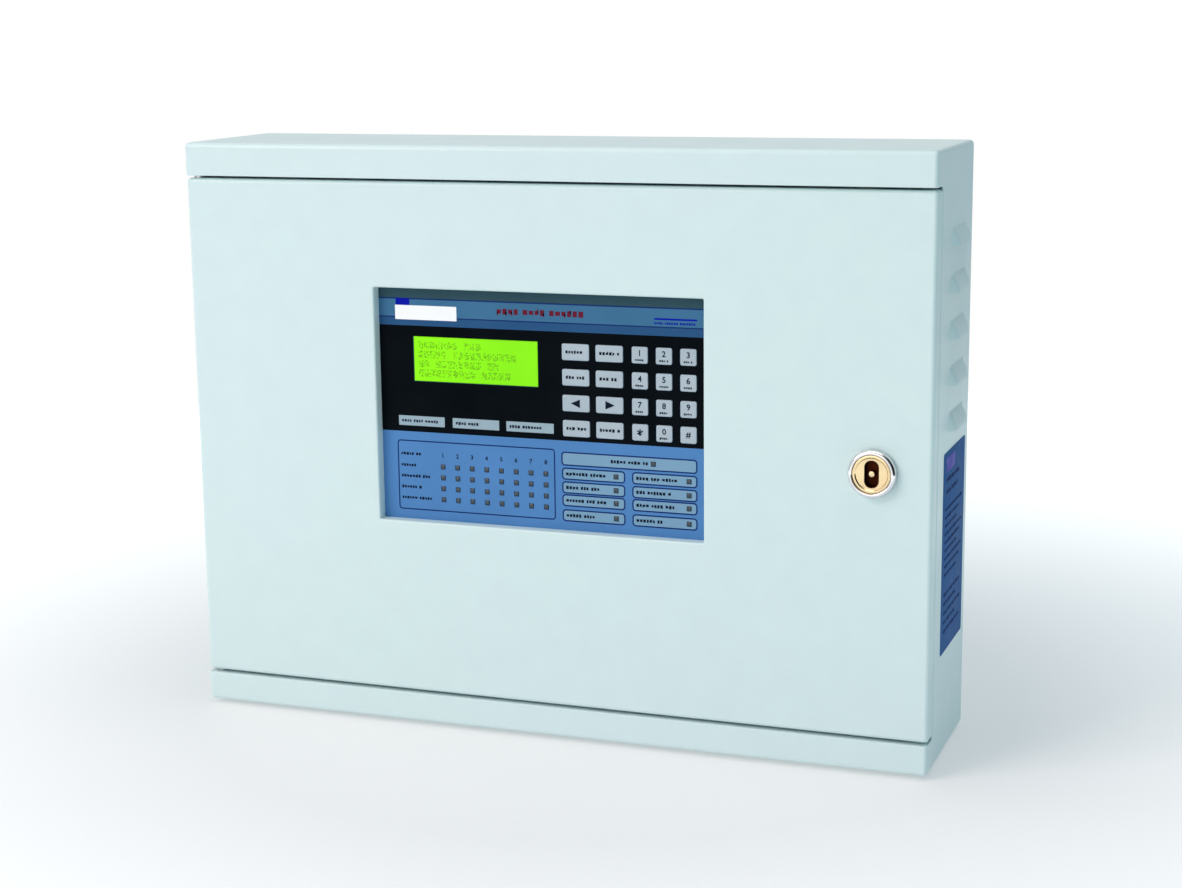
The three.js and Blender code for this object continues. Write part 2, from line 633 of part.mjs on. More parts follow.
// A clear slab behind the plate with one square post through the plate and film for each indicator.
function lightPipe(name, leds) {
  const us = leds.map(([u]) => u);
  const vs = leds.map(([, v]) => v);
  const half = LED.size / 2;
  let body = block(
    [Math.min(...us) - LED.size, Math.max(...us) + LED.size], [PLATE_BACK, PLATE_BACK + LED.slab],
    [-Math.max(...vs) - LED.size, -Math.min(...vs) + LED.size]);
  for (const [u, v] of leds) {
    body = body.add(block([u - half, u + half], [0, PLATE_BACK + LED.slab / 2], [-v - half, -v + half]));
  }
  return piece(name, body, LED_DARK);
}

function screen() {
  const { left, top, width, height } = LCD;
  const glass = block([left, left + width], [0.25, PLATE_BACK], [-top - height, -top]);
  const m = LCD_MODULE;
  const y = [PLATE_BACK, PLATE_BACK + m.depth];
  const module = block([m.left, m.left + m.width], y, [-m.top - m.height, -m.top]);
  return [piece('lcd_glass', glass, LCD_GREEN), piece('lcd_module', module, BLACK)];
}

function displayBoard() {
  const { front, thick, margin, switchSize, switchHeight } = DISPLAY_BOARD;
  const back = front + thick;
  let body = block([-margin, WINDOW.width + margin], [front, back], [-WINDOW.height - margin, margin]);
  const half = switchSize / 2;
  for (const { u, v } of KEYS) {
    body = body.add(block([u - half, u + half], [front - switchHeight, front + 0.5], [-v - half, -v + half]));
  }
  const { left, width, top, height, depth } = DISPLAY_HEADER;
  body = body.add(block([left, left + width], [back - 0.5, back + depth], [-top - height, -top]));
  return piece('display_circuit_board', body, BOARD_GREEN);
}

function sounder() {
  const back = DISPLAY_BOARD.front + DISPLAY_BOARD.thick;
  const { u, v, radius, height } = SOUNDER;
  const body = turned([
    [0, 0], [radius, 0], [radius, height - 1], [radius - 1, height], [1.5, height],
    [1.5, height - 3], [0, height - 3],
  ], 20);
  return at(piece('sounder', body, BLACK), u, back, -v);
}

// A key cap with a stem that reaches back to its switch.
function key({ name, u, v, width }) {
  const { height, corner, depth } = KEY;
  const cap = roundedRectangle(-width / 2, width / 2, -height / 2, height / 2, corner);
  const half = KEY_STEM.width / 2;
  const body = alongY(cap, 0, depth, { curveSegments: 1 })
    .add(block([-half, half], [depth - 0.5, depth + KEY_STEM.length], [-half, half]));
  return at(piece(name, body, KEY_GREY), u, -KEY.proud, -v);
}

function membranePanel() {
  const group = new THREE.Group();
  group.add(overlayFilm(), displayPlate(), legendCard(), ...screen());
  group.add(lightPipe('zone_light_pipe', zoneLeds()), lightPipe('status_light_pipe', statusLeds()));
  group.add(displayBoard(), sounder(), ...KEYS.map(key));
  return at(group, WINDOW.left, WINDOW.flange, WINDOW.top);
}

// ---- lock: y counts back from the door's front face, on the lock's own axis ----

function lockHousing() {
  const { rim, faceBore, bore, neckBore, body, proud, seat, length, shoulder } = LOCK;
  return piece('lock_housing', turned([
    [faceBore, -proud], [rim - 2, -proud], [rim - 0.5, -proud + 1], [rim, -proud + 2.5], [rim, 0],
    [body, 0], [body, length], [neckBore, length], [neckBore, shoulder], [bore, shoulder], [bore, seat],
    [faceBore, seat], [faceBore, -proud],
  ], 36), CHROME);
}

function lockPlug() {
  const { face, barrel, neck, proud, seat, recess, shoulder } = LOCK;
  const front = recess - proud;
  const square = CAM.square / 2;
  const camBack = CAM.front + CAM.thick;
  let body = turned([
    [0, front], [face - 0.5, front], [face, front + 0.5], [face, seat - 0.25], [barrel, seat - 0.25],
    [barrel, shoulder - 0.25], [neck, shoulder - 0.25], [neck, CAM.front], [0, CAM.front],
  ], 36);
  body = body.add(block([-square, square], [CAM.front - 1, camBack], [-square, square]));
  const slot = roundedRectangle(
    -KEYWAY.width / 2, KEYWAY.width / 2, -KEYWAY.height / 2, KEYWAY.height / 2, KEYWAY.width / 2 - 0.1);
  body = body.subtract(alongY(slot, front - THROUGH, front + KEYWAY.depth));
  body = body.add(rod(KEYWAY.pin, front + KEYWAY.pinSet, front + KEYWAY.depth + 0.5, 16));
  body = body.subtract(rod(CAM.shank + FIT, camBack - 4, camBack + THROUGH, 16));
  return piece('lock_plug', body, BRASS);
}

function lockCam() {
  const half = CAM.width / 2;
  const outline = roundedRectangle(-half, half, -half, CAM.reach, half - 0.5);
  const square = CAM.square / 2 + FIT;
  const back = CAM.front + CAM.thick;
  const squareHole = block([-square, square], [0, back + THROUGH], [-square, square]);
  return piece('lock_cam', alongY(outline, CAM.front, back).subtract(squareHole), ZINC);
}

function camScrew() {
  const back = CAM.front + CAM.thick;
  const { screw, screwHead, shank } = CAM;
  let body = turned([
    [0, back - 3.5], [shank, back - 3.5], [shank, back], [screw, back], [screw, back + 1.5],
    [screw - 1.5, back + screwHead], [0, back + screwHead],
  ], 24);
  const slotY = [back + screwHead - 1, back + screwHead + THROUGH];
  body = body.subtract(block([-screw, screw], slotY, [-0.6, 0.6]));
  return piece('cam_screw', body, ZINC);
}

function lockNut() {
  const { radius, thick } = LOCK_NUT;
  const bore = rod(LOCK.body + FIT, 0, SHEET + thick + THROUGH, 24);
  return piece('lock_nut', rod(radius, SHEET, SHEET + thick, 6).subtract(bore), ZINC);
}

function lock() {
  const group = new THREE.Group();
  group.add(lockHousing(), lockNut(), lockPlug(), lockCam(), camScrew());
  return at(group, LOCK.x, 0, LOCK.z);
}

// ---- assembly ----

function door() {
  const group = new THREE.Group();
  group.add(doorPanel(), membranePanel(), lock());
  group.add(hingePin('hinge_pin_top', DOOR_TOP, true), hingePin('hinge_pin_bottom', DOOR_BOTTOM, false));
  return at(group, 0, DOOR_Y, 0);
}

function enclosure() {
  const group = new THREE.Group();
  const terminalZ = CHASSIS.top - MAIN_BOARD.inset - TERMINAL.height - 2;
  group.add(enclosureBody(), sideLabel(), lockStrike(), chassisPlate(), mainBoard(), processor());
  group.add(onBoard('detector_terminals', terminalRow(12), TERMINAL_GREEN, -190, terminalZ));
  group.add(onBoard('output_terminals', terminalRow(10), TERMINAL_GREEN, -46, terminalZ));
  group.add(relayBank(), ribbonSocket(), powerSupply(), batteryStrap(), batteryLink(), ...mainsParts());
  group.add(battery('battery_left', BATTERY.x[0]), battery('battery_right', BATTERY.x[1]));
  group.add(grommet('cable_grommet_left', GROMMET.x[0]), grommet('cable_grommet_right', GROMMET.x[1]));
  group.add(ribbonCable());
  return group;
}

const panel = new THREE.Group();
panel.add(enclosure(), door());

export default panel;
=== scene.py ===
"""The looks of a conventional fire alarm control panel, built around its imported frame.

Lengths in this script are in millimetres unless a name ends in _m; points become metres as they enter a mesh.
+X is to the right seen from the front, +Y goes into the wall, +Z is up, and the origin is the back's centre.
"""

import math
import random

import bmesh
import bpy
from mathutils import Matrix, Vector


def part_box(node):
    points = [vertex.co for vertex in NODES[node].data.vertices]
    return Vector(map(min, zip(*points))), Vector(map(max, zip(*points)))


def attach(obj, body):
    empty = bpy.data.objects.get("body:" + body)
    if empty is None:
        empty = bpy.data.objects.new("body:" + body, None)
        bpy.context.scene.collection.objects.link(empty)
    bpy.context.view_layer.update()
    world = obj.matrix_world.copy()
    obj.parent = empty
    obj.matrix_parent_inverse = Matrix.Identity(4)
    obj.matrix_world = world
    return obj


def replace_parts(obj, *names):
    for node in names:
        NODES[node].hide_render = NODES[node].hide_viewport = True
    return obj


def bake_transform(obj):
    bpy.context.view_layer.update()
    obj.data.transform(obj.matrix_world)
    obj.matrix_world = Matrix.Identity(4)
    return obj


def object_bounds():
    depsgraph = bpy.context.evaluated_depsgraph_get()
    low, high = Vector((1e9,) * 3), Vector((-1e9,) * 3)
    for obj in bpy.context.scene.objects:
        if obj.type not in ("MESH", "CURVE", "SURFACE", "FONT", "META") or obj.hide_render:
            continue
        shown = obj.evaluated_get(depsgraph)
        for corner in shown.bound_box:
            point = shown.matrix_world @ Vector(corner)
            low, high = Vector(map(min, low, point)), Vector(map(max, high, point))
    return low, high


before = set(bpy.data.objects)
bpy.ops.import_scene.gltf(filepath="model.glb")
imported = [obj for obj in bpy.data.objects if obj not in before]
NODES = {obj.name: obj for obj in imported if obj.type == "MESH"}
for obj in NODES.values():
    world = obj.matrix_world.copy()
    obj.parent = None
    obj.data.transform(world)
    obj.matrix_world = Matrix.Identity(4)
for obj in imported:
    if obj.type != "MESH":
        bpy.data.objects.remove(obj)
cad_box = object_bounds()

MM = 0.001
SHEET = 1.25


# ---- places read from the frame ----

def span(node):
    """A node's lowest and highest corners in millimetres."""
    low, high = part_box(node)
    return Vector(low) / MM, Vector(high) / MM


BODY_LOW, BODY_HIGH = span("enclosure_body")
DOOR_LOW, DOOR_HIGH = span("door_panel")
FILM_LOW, FILM_HIGH = span("overlay_film")
LABEL_LOW, LABEL_HIGH = span("side_label")
RIM_LOW, RIM_HIGH = span("lock_housing")
DISPLAY_PLATE_BACK = span("display_plate")[1].y
BOARD_LOW, BOARD_HIGH = span("main_circuit_board")
DISPLAY_BOARD_BACK = span("display_circuit_board")[1].y

HALF_W = -DOOR_LOW.x
HALF_H = BODY_HIGH.z
DEPTH = -BODY_LOW.y
LOUVRE_PROUD = BODY_HIGH.x - HALF_W
FILM_MARGIN = 4
WINDOW_LEFT = FILM_LOW.x + FILM_MARGIN
WINDOW_TOP = FILM_HIGH.z - FILM_MARGIN
WINDOW_WIDTH = FILM_HIGH.x - FILM_LOW.x - 2 * FILM_MARGIN
WINDOW_HEIGHT = FILM_HIGH.z - FILM_LOW.z - 2 * FILM_MARGIN
FILM_Y = FILM_LOW.y
LOCK_X = (RIM_LOW.x + RIM_HIGH.x) / 2
LOCK_Z = (RIM_LOW.z + RIM_HIGH.z) / 2
RIM_RADIUS = (RIM_HIGH.x - RIM_LOW.x) / 2


# ---- camera and light ----

CAMERA_AT = Vector((435.4, -1195.1, 239.3))
CAMERA_YAW, CAMERA_PITCH, CAMERA_ROLL = -20.35, -11.36, -0.68
LENS, SENSOR = 65.5, 36


def add_camera():
    yaw, pitch, roll = (math.radians(a) for a in (CAMERA_YAW, CAMERA_PITCH, CAMERA_ROLL))
    ahead = Vector((math.sin(yaw) * math.cos(pitch), math.cos(yaw) * math.cos(pitch), math.sin(pitch)))
    right = Vector((math.cos(yaw), -math.sin(yaw), 0))
    up = right.cross(ahead)
    right, up = right * math.cos(roll) + up * math.sin(roll), up * math.cos(roll) - right * math.sin(roll)
    data = bpy.data.cameras.new("camera")
    data.lens = LENS
    data.sensor_width = SENSOR
    camera = bpy.data.objects.new("camera", data)
    turn = Matrix((right, up, -ahead)).transposed().to_4x4()
    camera.matrix_world = Matrix.Translation(CAMERA_AT * MM) @ turn
    bpy.context.collection.objects.link(camera)
    bpy.context.scene.camera = camera


def add_area_light(name, at_m, size_m, power, colour=(1, 1, 1), target_m=(0, -0.05, 0)):
    data = bpy.data.lights.new(name, "AREA")
    data.shape = "RECTANGLE"
    data.size, data.size_y = size_m
    data.energy = power
    data.color = colour
    light = bpy.data.objects.new(name, data)
    light.location = at_m
    light.rotation_euler = (Vector(target_m) - Vector(at_m)).to_track_quat("-Z", "Y").to_euler()
    bpy.context.collection.objects.link(light)


def add_node(tree, kind, **inputs):
    """Adds a shader node and sets its sockets by name, with _ for a space."""
    node = tree.nodes.new("ShaderNode" + kind)
    for name, value in inputs.items():
        node.inputs[name.replace("_", " ")].default_value = value
    return node


def add_world(light, strength):
    """A soft sky lights the object, a plain white stands behind it, and reflections darken to the right."""
    world = bpy.data.worlds.new("studio")
    world.use_nodes = True
    tree = world.node_tree
    link = tree.links.new
    sky = tree.nodes["Background"]
    sky.inputs["Color"].default_value = (*light, 1)
    sky.inputs["Strength"].default_value = strength
    behind = add_node(tree, "Background", Color=(1, 1, 1, 1))
    mirrored = add_node(tree, "Background")
    parts = add_node(tree, "SeparateXYZ")
    fall = add_node(tree, "MapRange", From_Min=0.05, From_Max=0.7, To_Min=1.0, To_Max=0.02)
    fall.interpolation_type = "SMOOTHSTEP"
    link(add_node(tree, "TexCoord").outputs["Generated"], parts.inputs["Vector"])
    link(parts.outputs["X"], fall.inputs["Value"])
    link(fall.outputs["Result"], mirrored.inputs["Strength"])
    rays = add_node(tree, "LightPath")
    last = sky
    for kind, shader in (("Is Glossy Ray", mirrored), ("Is Camera Ray", behind)):
        mix = add_node(tree, "MixShader")
        link(rays.outputs[kind], mix.inputs["Fac"])
        link(last.outputs[0], mix.inputs[1])
        link(shader.outputs[0], mix.inputs[2])
        last = mix
    link(last.outputs[0], tree.nodes["World Output"].inputs["Surface"])
    bpy.context.scene.world = world


def add_studio():
    add_world((0.50, 0.86, 1.0), 0.43)
    warm = (1, 0.81, 0.745)
    add_area_light("key", (-1.5, -1.9, 1.5), (1.5, 1.3), 36, warm)
    add_area_light("front_fill", (-0.5, -2.4, 0.4), (1.6, 1.2), 8.5, warm)
    add_area_light("top_soft", (0.1, -0.3, 1.8), (1.6, 1.2), 12, warm)
    bpy.context.scene.view_settings.view_transform = "Standard"


# ---- materials ----

def srgb(red, green, blue):
    """Linear colour of an 8-bit sRGB colour."""
    def linear(value):
        c = value / 255
        return c / 12.92 if c <= 0.04045 else ((c + 0.055) / 1.055) ** 2.4
    return linear(red), linear(green), linear(blue)


class Surface:
    """A Principled material in object coordinates (metres), with variation, roughness and relief."""

    def __init__(self, name, colour, roughness, metallic=0.0, **sockets):
        self.material = bpy.data.materials.new(name)
        self.material.use_nodes = True
        self.tree = self.material.node_tree
        self.link = self.tree.links.new
        self.shader = self.tree.nodes["Principled BSDF"]
        values = {"Base_Color": (*colour, 1), "Roughness": roughness, "Metallic": metallic, **sockets}
        for socket, value in values.items():
            self.shader.inputs[socket.replace("_", " ")].default_value = value
        self.place = add_node(self.tree, "TexCoord").outputs["Object"]

    def noise(self, scale, detail=2.0, stretch=(1, 1, 1)):
        mapping = add_node(self.tree, "Mapping", Scale=stretch)
        texture = add_node(self.tree, "TexNoise", Scale=scale, Detail=detail)
        self.link(self.place, mapping.inputs["Vector"])
        self.link(mapping.outputs["Vector"], texture.inputs["Vector"])
        return texture.outputs["Fac"]

    def spread(self, value, low, high, start=0.3, end=0.7):
        """Maps a value from start..end to low..high."""
        node = add_node(self.tree, "MapRange", From_Min=start, From_Max=end, To_Min=low, To_Max=high)
        self.link(value, node.inputs["Value"])
        return node.outputs["Result"]

    def tint(self, value, colour):
        """Mixes another colour into the base by a 0 to 1 value."""
        mix = add_node(self.tree, "Mix")
        mix.data_type = "RGBA"
        sockets = {socket.identifier: socket for socket in (*mix.inputs, *mix.outputs)}
        base = self.shader.inputs["Base Color"]
        sockets["A_Color"].default_value = base.default_value
        if base.is_linked:
            self.link(base.links[0].from_socket, sockets["A_Color"])
        sockets["B_Color"].default_value = (*colour, 1)
        self.link(value, sockets["Factor_Float"])
        self.link(sockets["Result_Color"], base)
        return self

    def rough(self, value, low, high):
        self.link(self.spread(value, low, high), self.shader.inputs["Roughness"])
        return self

    def relief(self, value, height_m, strength=1.0):
        bump = add_node(self.tree, "Bump", Distance=height_m, Strength=strength)
        normal = self.shader.inputs["Normal"]
        if normal.is_linked:
            self.link(normal.links[0].from_socket, bump.inputs["Normal"])
        self.link(value, bump.inputs["Height"])
        self.link(bump.outputs["Normal"], normal)
        return self


def painted_steel():
    """Pale blue-grey powder coat: fine orange peel, faint patches of tone and a little dust."""
    s = Surface("painted_steel", srgb(212, 231, 234), 0.42, Coat_Weight=0.15, Coat_Roughness=0.3)
    s.tint(s.spread(s.noise(5, 3), 0, 0.55), srgb(208, 232, 228))
    s.tint(s.spread(s.noise(60, 4), 0, 0.18), srgb(197, 216, 220))
    s.rough(s.noise(25, 4), 0.36, 0.5)
    s.relief(s.noise(900, 2), 0.00006, 0.35)
    return s.relief(s.noise(2600, 1), 0.00002, 0.3).material


def moulded(name, colour, roughness=0.45, grain=1500):
    s = Surface(name, colour, roughness)
    darker = tuple(c * 0.82 for c in colour)
    s.tint(s.spread(s.noise(40, 3), 0, 0.5), darker)
    s.rough(s.noise(180, 3), roughness - 0.08, roughness + 0.1)
    return s.relief(s.noise(grain, 2), 0.00004, 0.4).material


def ink(name, colour, roughness=0.38, gloss=0.12):
    """Screen-printed ink under a satin film: faint mottling and a very fine grain."""
    s = Surface(name, colour, roughness, Specular_IOR_Level=gloss)
    lighter = tuple(min(1, c * 1.18 + 0.004) for c in colour)
    s.tint(s.spread(s.noise(30, 4), 0, 0.5), lighter)
    s.rough(s.noise(120, 3), roughness - 0.06, roughness + 0.08)
    return s.relief(s.noise(4000, 1), 0.00001, 0.4).material


def plated(name, colour, roughness, brushed=(1, 1, 1), metallic=1.0):
    s = Surface(name, colour, roughness, metallic)
    darker = tuple(c * 0.72 for c in colour)
    s.tint(s.spread(s.noise(35, 5), 0, 0.6), darker)
    s.rough(s.noise(90, 4, brushed), roughness * 0.7, roughness * 1.35)
    return s.relief(s.noise(900, 3, brushed), 0.00002, 0.35).material


def circuit_board():
    """Green solder mask with faint copper tracks under it."""
    s = Surface("circuit_board", srgb(24, 84, 52), 0.35, Coat_Weight=0.4, Coat_Roughness=0.2)
    tracks = add_node(s.tree, "TexVoronoi", Scale=160)
    tracks.distance = "MANHATTAN"
    tracks.feature = "DISTANCE_TO_EDGE"
    s.link(s.place, tracks.inputs["Vector"])
    s.tint(s.spread(tracks.outputs["Distance"], 1, 0, 0.02, 0.07), srgb(52, 128, 78))
    s.rough(s.noise(200, 3), 0.28, 0.45)
    return s.relief(tracks.outputs["Distance"], 0.00005, 0.3).material


def lit_screen():
    """Backlit yellow-green display: a little uneven, as side-lit displays are."""
    s = Surface("lcd_backlight", srgb(118, 214, 0), 0.25, Specular_IOR_Level=0.2,
                Emission_Color=(*srgb(140, 240, 0), 1), Emission_Strength=0.25)
    s.tint(s.spread(s.noise(18, 2), 0, 0.7), srgb(138, 232, 4))
    return s.relief(s.noise(2500, 1), 0.00001, 0.2).material


PAINT = painted_steel()
FILM_BLUE = ink("film_blue", srgb(78, 128, 184), 0.38, 0.08)
TITLE_BLUE = ink("title_blue", srgb(62, 110, 146), 0.38, 0.06)
STRIP_BLUE = ink("strip_blue", srgb(40, 82, 126), 0.38, 0.06)
# Dark slate band along the film's top edge under the window's top flange: a printed band darkened with
# painted shade of the flange.
SLATE_BAND_AND_SHADE = ink("slate_band_and_painted_shade", srgb(49, 78, 88), 0.38, 0.06)
BLACK_INK = ink("black_ink", srgb(3, 9, 15), 0.3, 0.02)
NAVY = ink("navy_ink", srgb(18, 46, 104), 0.38, 0.05)
DARK_TEXT = ink("dark_text_ink", srgb(10, 20, 38), 0.38, 0.04)
MAROON = ink("maroon_ink", srgb(100, 12, 40))
ROYAL = ink("royal_blue_ink", srgb(4, 22, 160), 0.38, 0.04)
WHITE_INK = ink("white_ink", srgb(250, 251, 252))
BAR_BLUE = ink("pale_bar_ink", srgb(118, 156, 184))
CARD_WHITE = ink("legend_white", srgb(148, 170, 182))
KEY_GREY = moulded("key_grey", srgb(172, 188, 198), 0.42, 2500)
LED_SMOKE = moulded("led_smoke", srgb(38, 58, 70), 0.2, 3000)
LCD_LIGHT = lit_screen()
LCD_DOT = ink("lcd_dot", srgb(96, 172, 8), 0.3)
LABEL_BLUE = ink("label_blue", srgb(58, 98, 152), 0.6, 0.02)
LABEL_NAVY = ink("label_navy", srgb(14, 38, 90), 0.6, 0.02)
CHROME = plated("bright_chrome", (0.80, 0.81, 0.83), 0.1)
BRASS = plated("pale_brass", srgb(234, 212, 168), 0.2)
ZINC = plated("zinc_plate", (0.56, 0.58, 0.60), 0.38, (1, 1, 12))
# Dark brown for the keyway's walls and floor: painted shade of the deep slot in the brass plug.
KEYWAY_PAINTED_SHADE = plated("keyway_shadow_steel", srgb(58, 26, 12), 0.5)
BLACK_PLASTIC = moulded("black_plastic", srgb(26, 27, 30), 0.45)
RUBBER = moulded("black_rubber", srgb(22, 22, 23), 0.7, 800)
TERMINAL_GREEN = moulded("terminal_green", srgb(46, 140, 78), 0.4)
RELAY_BLUE = moulded("relay_blue", srgb(38, 86, 168), 0.35)
RIBBON_GREY = moulded("ribbon_grey", srgb(150, 158, 164), 0.5)
WIRE_RED = moulded("wire_red", srgb(176, 32, 26), 0.4)
WIRE_BLACK = moulded("wire_black", srgb(28, 28, 30), 0.4)
CREAM = moulded("cream_plastic", srgb(226, 222, 205), 0.5)
COVER_GREY = moulded("cover_grey", srgb(196, 200, 202), 0.5, 1200)
BOARD_GREEN = circuit_board()
SOLDER = plated("solder", (0.62, 0.63, 0.64), 0.3)
CAN_BLUE = moulded("can_blue", srgb(24, 44, 92), 0.35)


# ---- mesh tools ----

def metres(mesh):
    bmesh.ops.scale(mesh, vec=(MM, MM, MM), verts=mesh.verts)


def piece(name, mesh, material, body, smooth_angle=35):
    """Makes an object from a mesh drawn in millimetres and ties it to its body, if it has one."""
    metres(mesh)
    data = bpy.data.meshes.new(name)
    bmesh.ops.recalc_face_normals(mesh, faces=mesh.faces)
    mesh.to_mesh(data)
    mesh.free()
    data.materials.append(material)
    data.shade_smooth()
    data.set_sharp_from_angle(angle=math.radians(smooth_angle))
    obj = bpy.data.objects.new(name, data)
    bpy.context.collection.objects.link(obj)
    if body:
        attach(obj, body)
    return obj


def bevel(obj, width, segments=2, angle=40):
    modifier = obj.modifiers.new("edge_bevel", "BEVEL")
    modifier.width = width * MM
    modifier.segments = segments
    modifier.limit_method = "ANGLE"
    modifier.angle_limit = math.radians(angle)
    modifier.harden_normals = True
    return obj


def apply_modifiers(obj):
    evaluated = obj.evaluated_get(bpy.context.evaluated_depsgraph_get())
    data = bpy.data.meshes.new_from_object(evaluated)
    obj.modifiers.clear()
    obj.data = data
    return obj


def resharpen(obj, angle):
    obj.data.shade_smooth()
    obj.data.set_sharp_from_angle(angle=math.radians(angle))
    return obj


def even_normals(obj):
    """Large flat faces keep a flat shade beside narrow bends."""
    modifier = obj.modifiers.new("even_normals", "WEIGHTED_NORMAL")
    modifier.keep_sharp = True
    return obj


def carve(obj, cutter_mesh):
    """Cuts a closed mesh, drawn in millimetres, out of an object."""
    metres(cutter_mesh)
    bmesh.ops.recalc_face_normals(cutter_mesh, faces=cutter_mesh.faces)
    data = bpy.data.meshes.new("cutter")
    cutter_mesh.to_mesh(data)
    cutter_mesh.free()
    cutter = bpy.data.objects.new("cutter", data)
    bpy.context.collection.objects.link(cutter)
    modifier = obj.modifiers.new("cut", "BOOLEAN")
    modifier.object = cutter
    modifier.solver = "EXACT"
    bpy.context.view_layer.update()
    apply_modifiers(obj)
    bpy.data.objects.remove(cutter)
    return resharpen(obj, 35)


def add_block(mesh, *ranges):
    """Adds a box given by its ranges in X, Y and Z."""
    for vert in bmesh.ops.create_cube(mesh, size=1)["verts"]:
        vert.co = Vector([low if at < 0 else high for at, (low, high) in zip(vert.co, ranges)])


def add_loops(mesh, loops, close_ends=True):
    """Joins closed loops of the same number of points into a skin and caps both ends."""
    rows = [[mesh.verts.new(p) for p in loop] for loop in loops]
    count = len(rows[0])
    for a, b in zip(rows, rows[1:]):
        for i in range(count):
            j = (i + 1) % count
            mesh.faces.new((a[i], a[j], b[j], b[i]))
    if close_ends:
        mesh.faces.new(rows[0][::-1])
        mesh.faces.new(rows[-1])


def add_turned(mesh, profile, centre, segments=48, axis="Y"):
    """Adds a turned form with flat ends from its profile of (radius, distance along the axis)."""
    loops = []
    for radius, along in profile:
        ring = []
        for i in range(segments):
            a = 2 * math.pi * i / segments
            flat = (radius * math.cos(a), radius * math.sin(a))
            local = (flat[0], along, flat[1]) if axis == "Y" else (*flat, along)
            ring.append(Vector(centre) + Vector(local))
        loops.append(ring)
    add_loops(mesh, loops)


def round_rectangle(width, height, radius, steps=5):
    """Points of a rounded rectangle about the origin, anticlockwise."""
    points = []
    corners = ((1, 1, 0), (-1, 1, 90), (-1, -1, 180), (1, -1, 270))
    for sx, sz, start in corners:
        for i in range(steps + 1):
            a = math.radians(start + 90 * i / steps)
            cx, cz = sx * (width / 2 - radius), sz * (height / 2 - radius)
            points.append((cx + radius * math.cos(a), cz + radius * math.sin(a)))
    return points


# ---- sheet-metal box ----

HOOD_LIP, PLINTH_LIP, SHELF = 19, 17.25, 20
HOOD_Z, PLINTH_Z = HALF_H - HOOD_LIP, PLINTH_LIP - HALF_H
SIDE_FRONT_Y = DOOR_LOW.y + 13
BEND = 3
KEYHOLE_X, KEYHOLE_Z = 160, 150
FIXING_Z = -60
PIVOT_X, PIVOT_Y = -214, -93
GROMMET_X, GROMMET_Y = (135, 185), -45
LOUVRE_CENTRES = [120 - 25 * i for i in range(5)]
LOUVRE_Y, LOUVRE_LENGTH, LOUVRE_HEIGHT = -40, 42, 10
LOUVRE_TAPER, LOUVRE_MARGIN = 7, 2
LOUVRE_EDGE = 0.4
LOUVRE_PLATE_Y = tuple(LOUVRE_Y + side * (LOUVRE_LENGTH / 2 + LOUVRE_MARGIN) for side in (-1, 1))
LOUVRE_PLATE_Z = (LOUVRE_CENTRES[-1] - LOUVRE_HEIGHT / 2 - LOUVRE_MARGIN,
                  LOUVRE_CENTRES[0] + LOUVRE_HEIGHT / 2 + LOUVRE_MARGIN)
GLAND_HOLE, SHELF_PIN_HOLE, DOOR_PIN_HOLE, LOCK_HOLE = 10, 2.1, 2.3, 10.8  # radii


def folded_box(inset, bend, edge, steps=5):
    """A closed box with bends along X and softly folded edges at both ends."""
    mesh = bmesh.new()
    rings = []
    for side in (-1, 1):
        ring_set = []
        for i in range(steps + 1):
            a = math.pi / 2 * i / steps
            shrink = edge * (1 - math.sin(a))
            x = side * (HALF_W - inset - edge * (1 - math.cos(a)))
            outline = round_rectangle(
                DEPTH - 2 * (inset + shrink), 2 * (HALF_H - inset - shrink), bend - shrink, 6)
            ring_set.append([Vector((x, y - DEPTH / 2, z)) for y, z in outline])
        rings += ring_set if side < 0 else ring_set[::-1]
    add_loops(mesh, rings)
    return mesh


def shell_cutters():
    """The door's opening, the keyholes and fixing holes in the back, and the two cable gland holes."""
    mesh = bmesh.new()
    add_block(mesh, (-HALF_W - 2, HALF_W + 2), (-DEPTH - 2, SIDE_FRONT_Y), (PLINTH_Z, HOOD_Z))
    for side in (-1, 1):
        x = side * KEYHOLE_X
        add_turned(mesh, [(3.5, -4), (3.5, 2)], (x, 0, FIXING_Z), 24)
        keyhole = [(x + 4.5 * math.cos(a), KEYHOLE_Z + 4.5 * math.sin(a))
                   for a in (math.radians(125 + 290 * i / 20) for i in range(21))]
        slot = [(x + 2.5 * math.cos(a), KEYHOLE_Z + 6.5 + 2.5 * math.sin(a))
                for a in (math.radians(180 * i / 8) for i in range(9))]
        add_loops(mesh, [[Vector((p[0], y, p[1])) for p in keyhole + slot] for y in (-4, 2)])
    for x in GROMMET_X:
        ends = (-HALF_H - 2, SHEET + 2 - HALF_H)
        add_turned(mesh, [(GLAND_HOLE, z) for z in ends], (x, GROMMET_Y, 0), 32, axis="Z")
    return mesh


def louvre_height(y, z):
    """How far a louvre stands out of the side wall: a pressed half-dome with a straight lower lip."""
    across = min(1, (LOUVRE_LENGTH / 2 - abs(y - LOUVRE_Y)) / LOUVRE_TAPER)
    if across <= 0:
        return 0
    for centre in LOUVRE_CENTRES:
        fall = (centre + LOUVRE_HEIGHT / 2 - z) / LOUVRE_HEIGHT
        if 0 <= fall <= 1:
            rise = 0.3 * fall + 0.7 * math.sin(fall * math.pi / 2)
            return LOUVRE_PROUD * rise * math.sin(across * math.pi / 2)
    return 0


def ticks(stops):
    """Grid lines between stops of (position, number of equal steps to the next stop)."""
    lines = []
    for (a, steps), (b, _) in zip(stops, stops[1:]):
        lines += [a + (b - a) * i / steps for i in range(steps)]
    return lines + [stops[-1][0]]


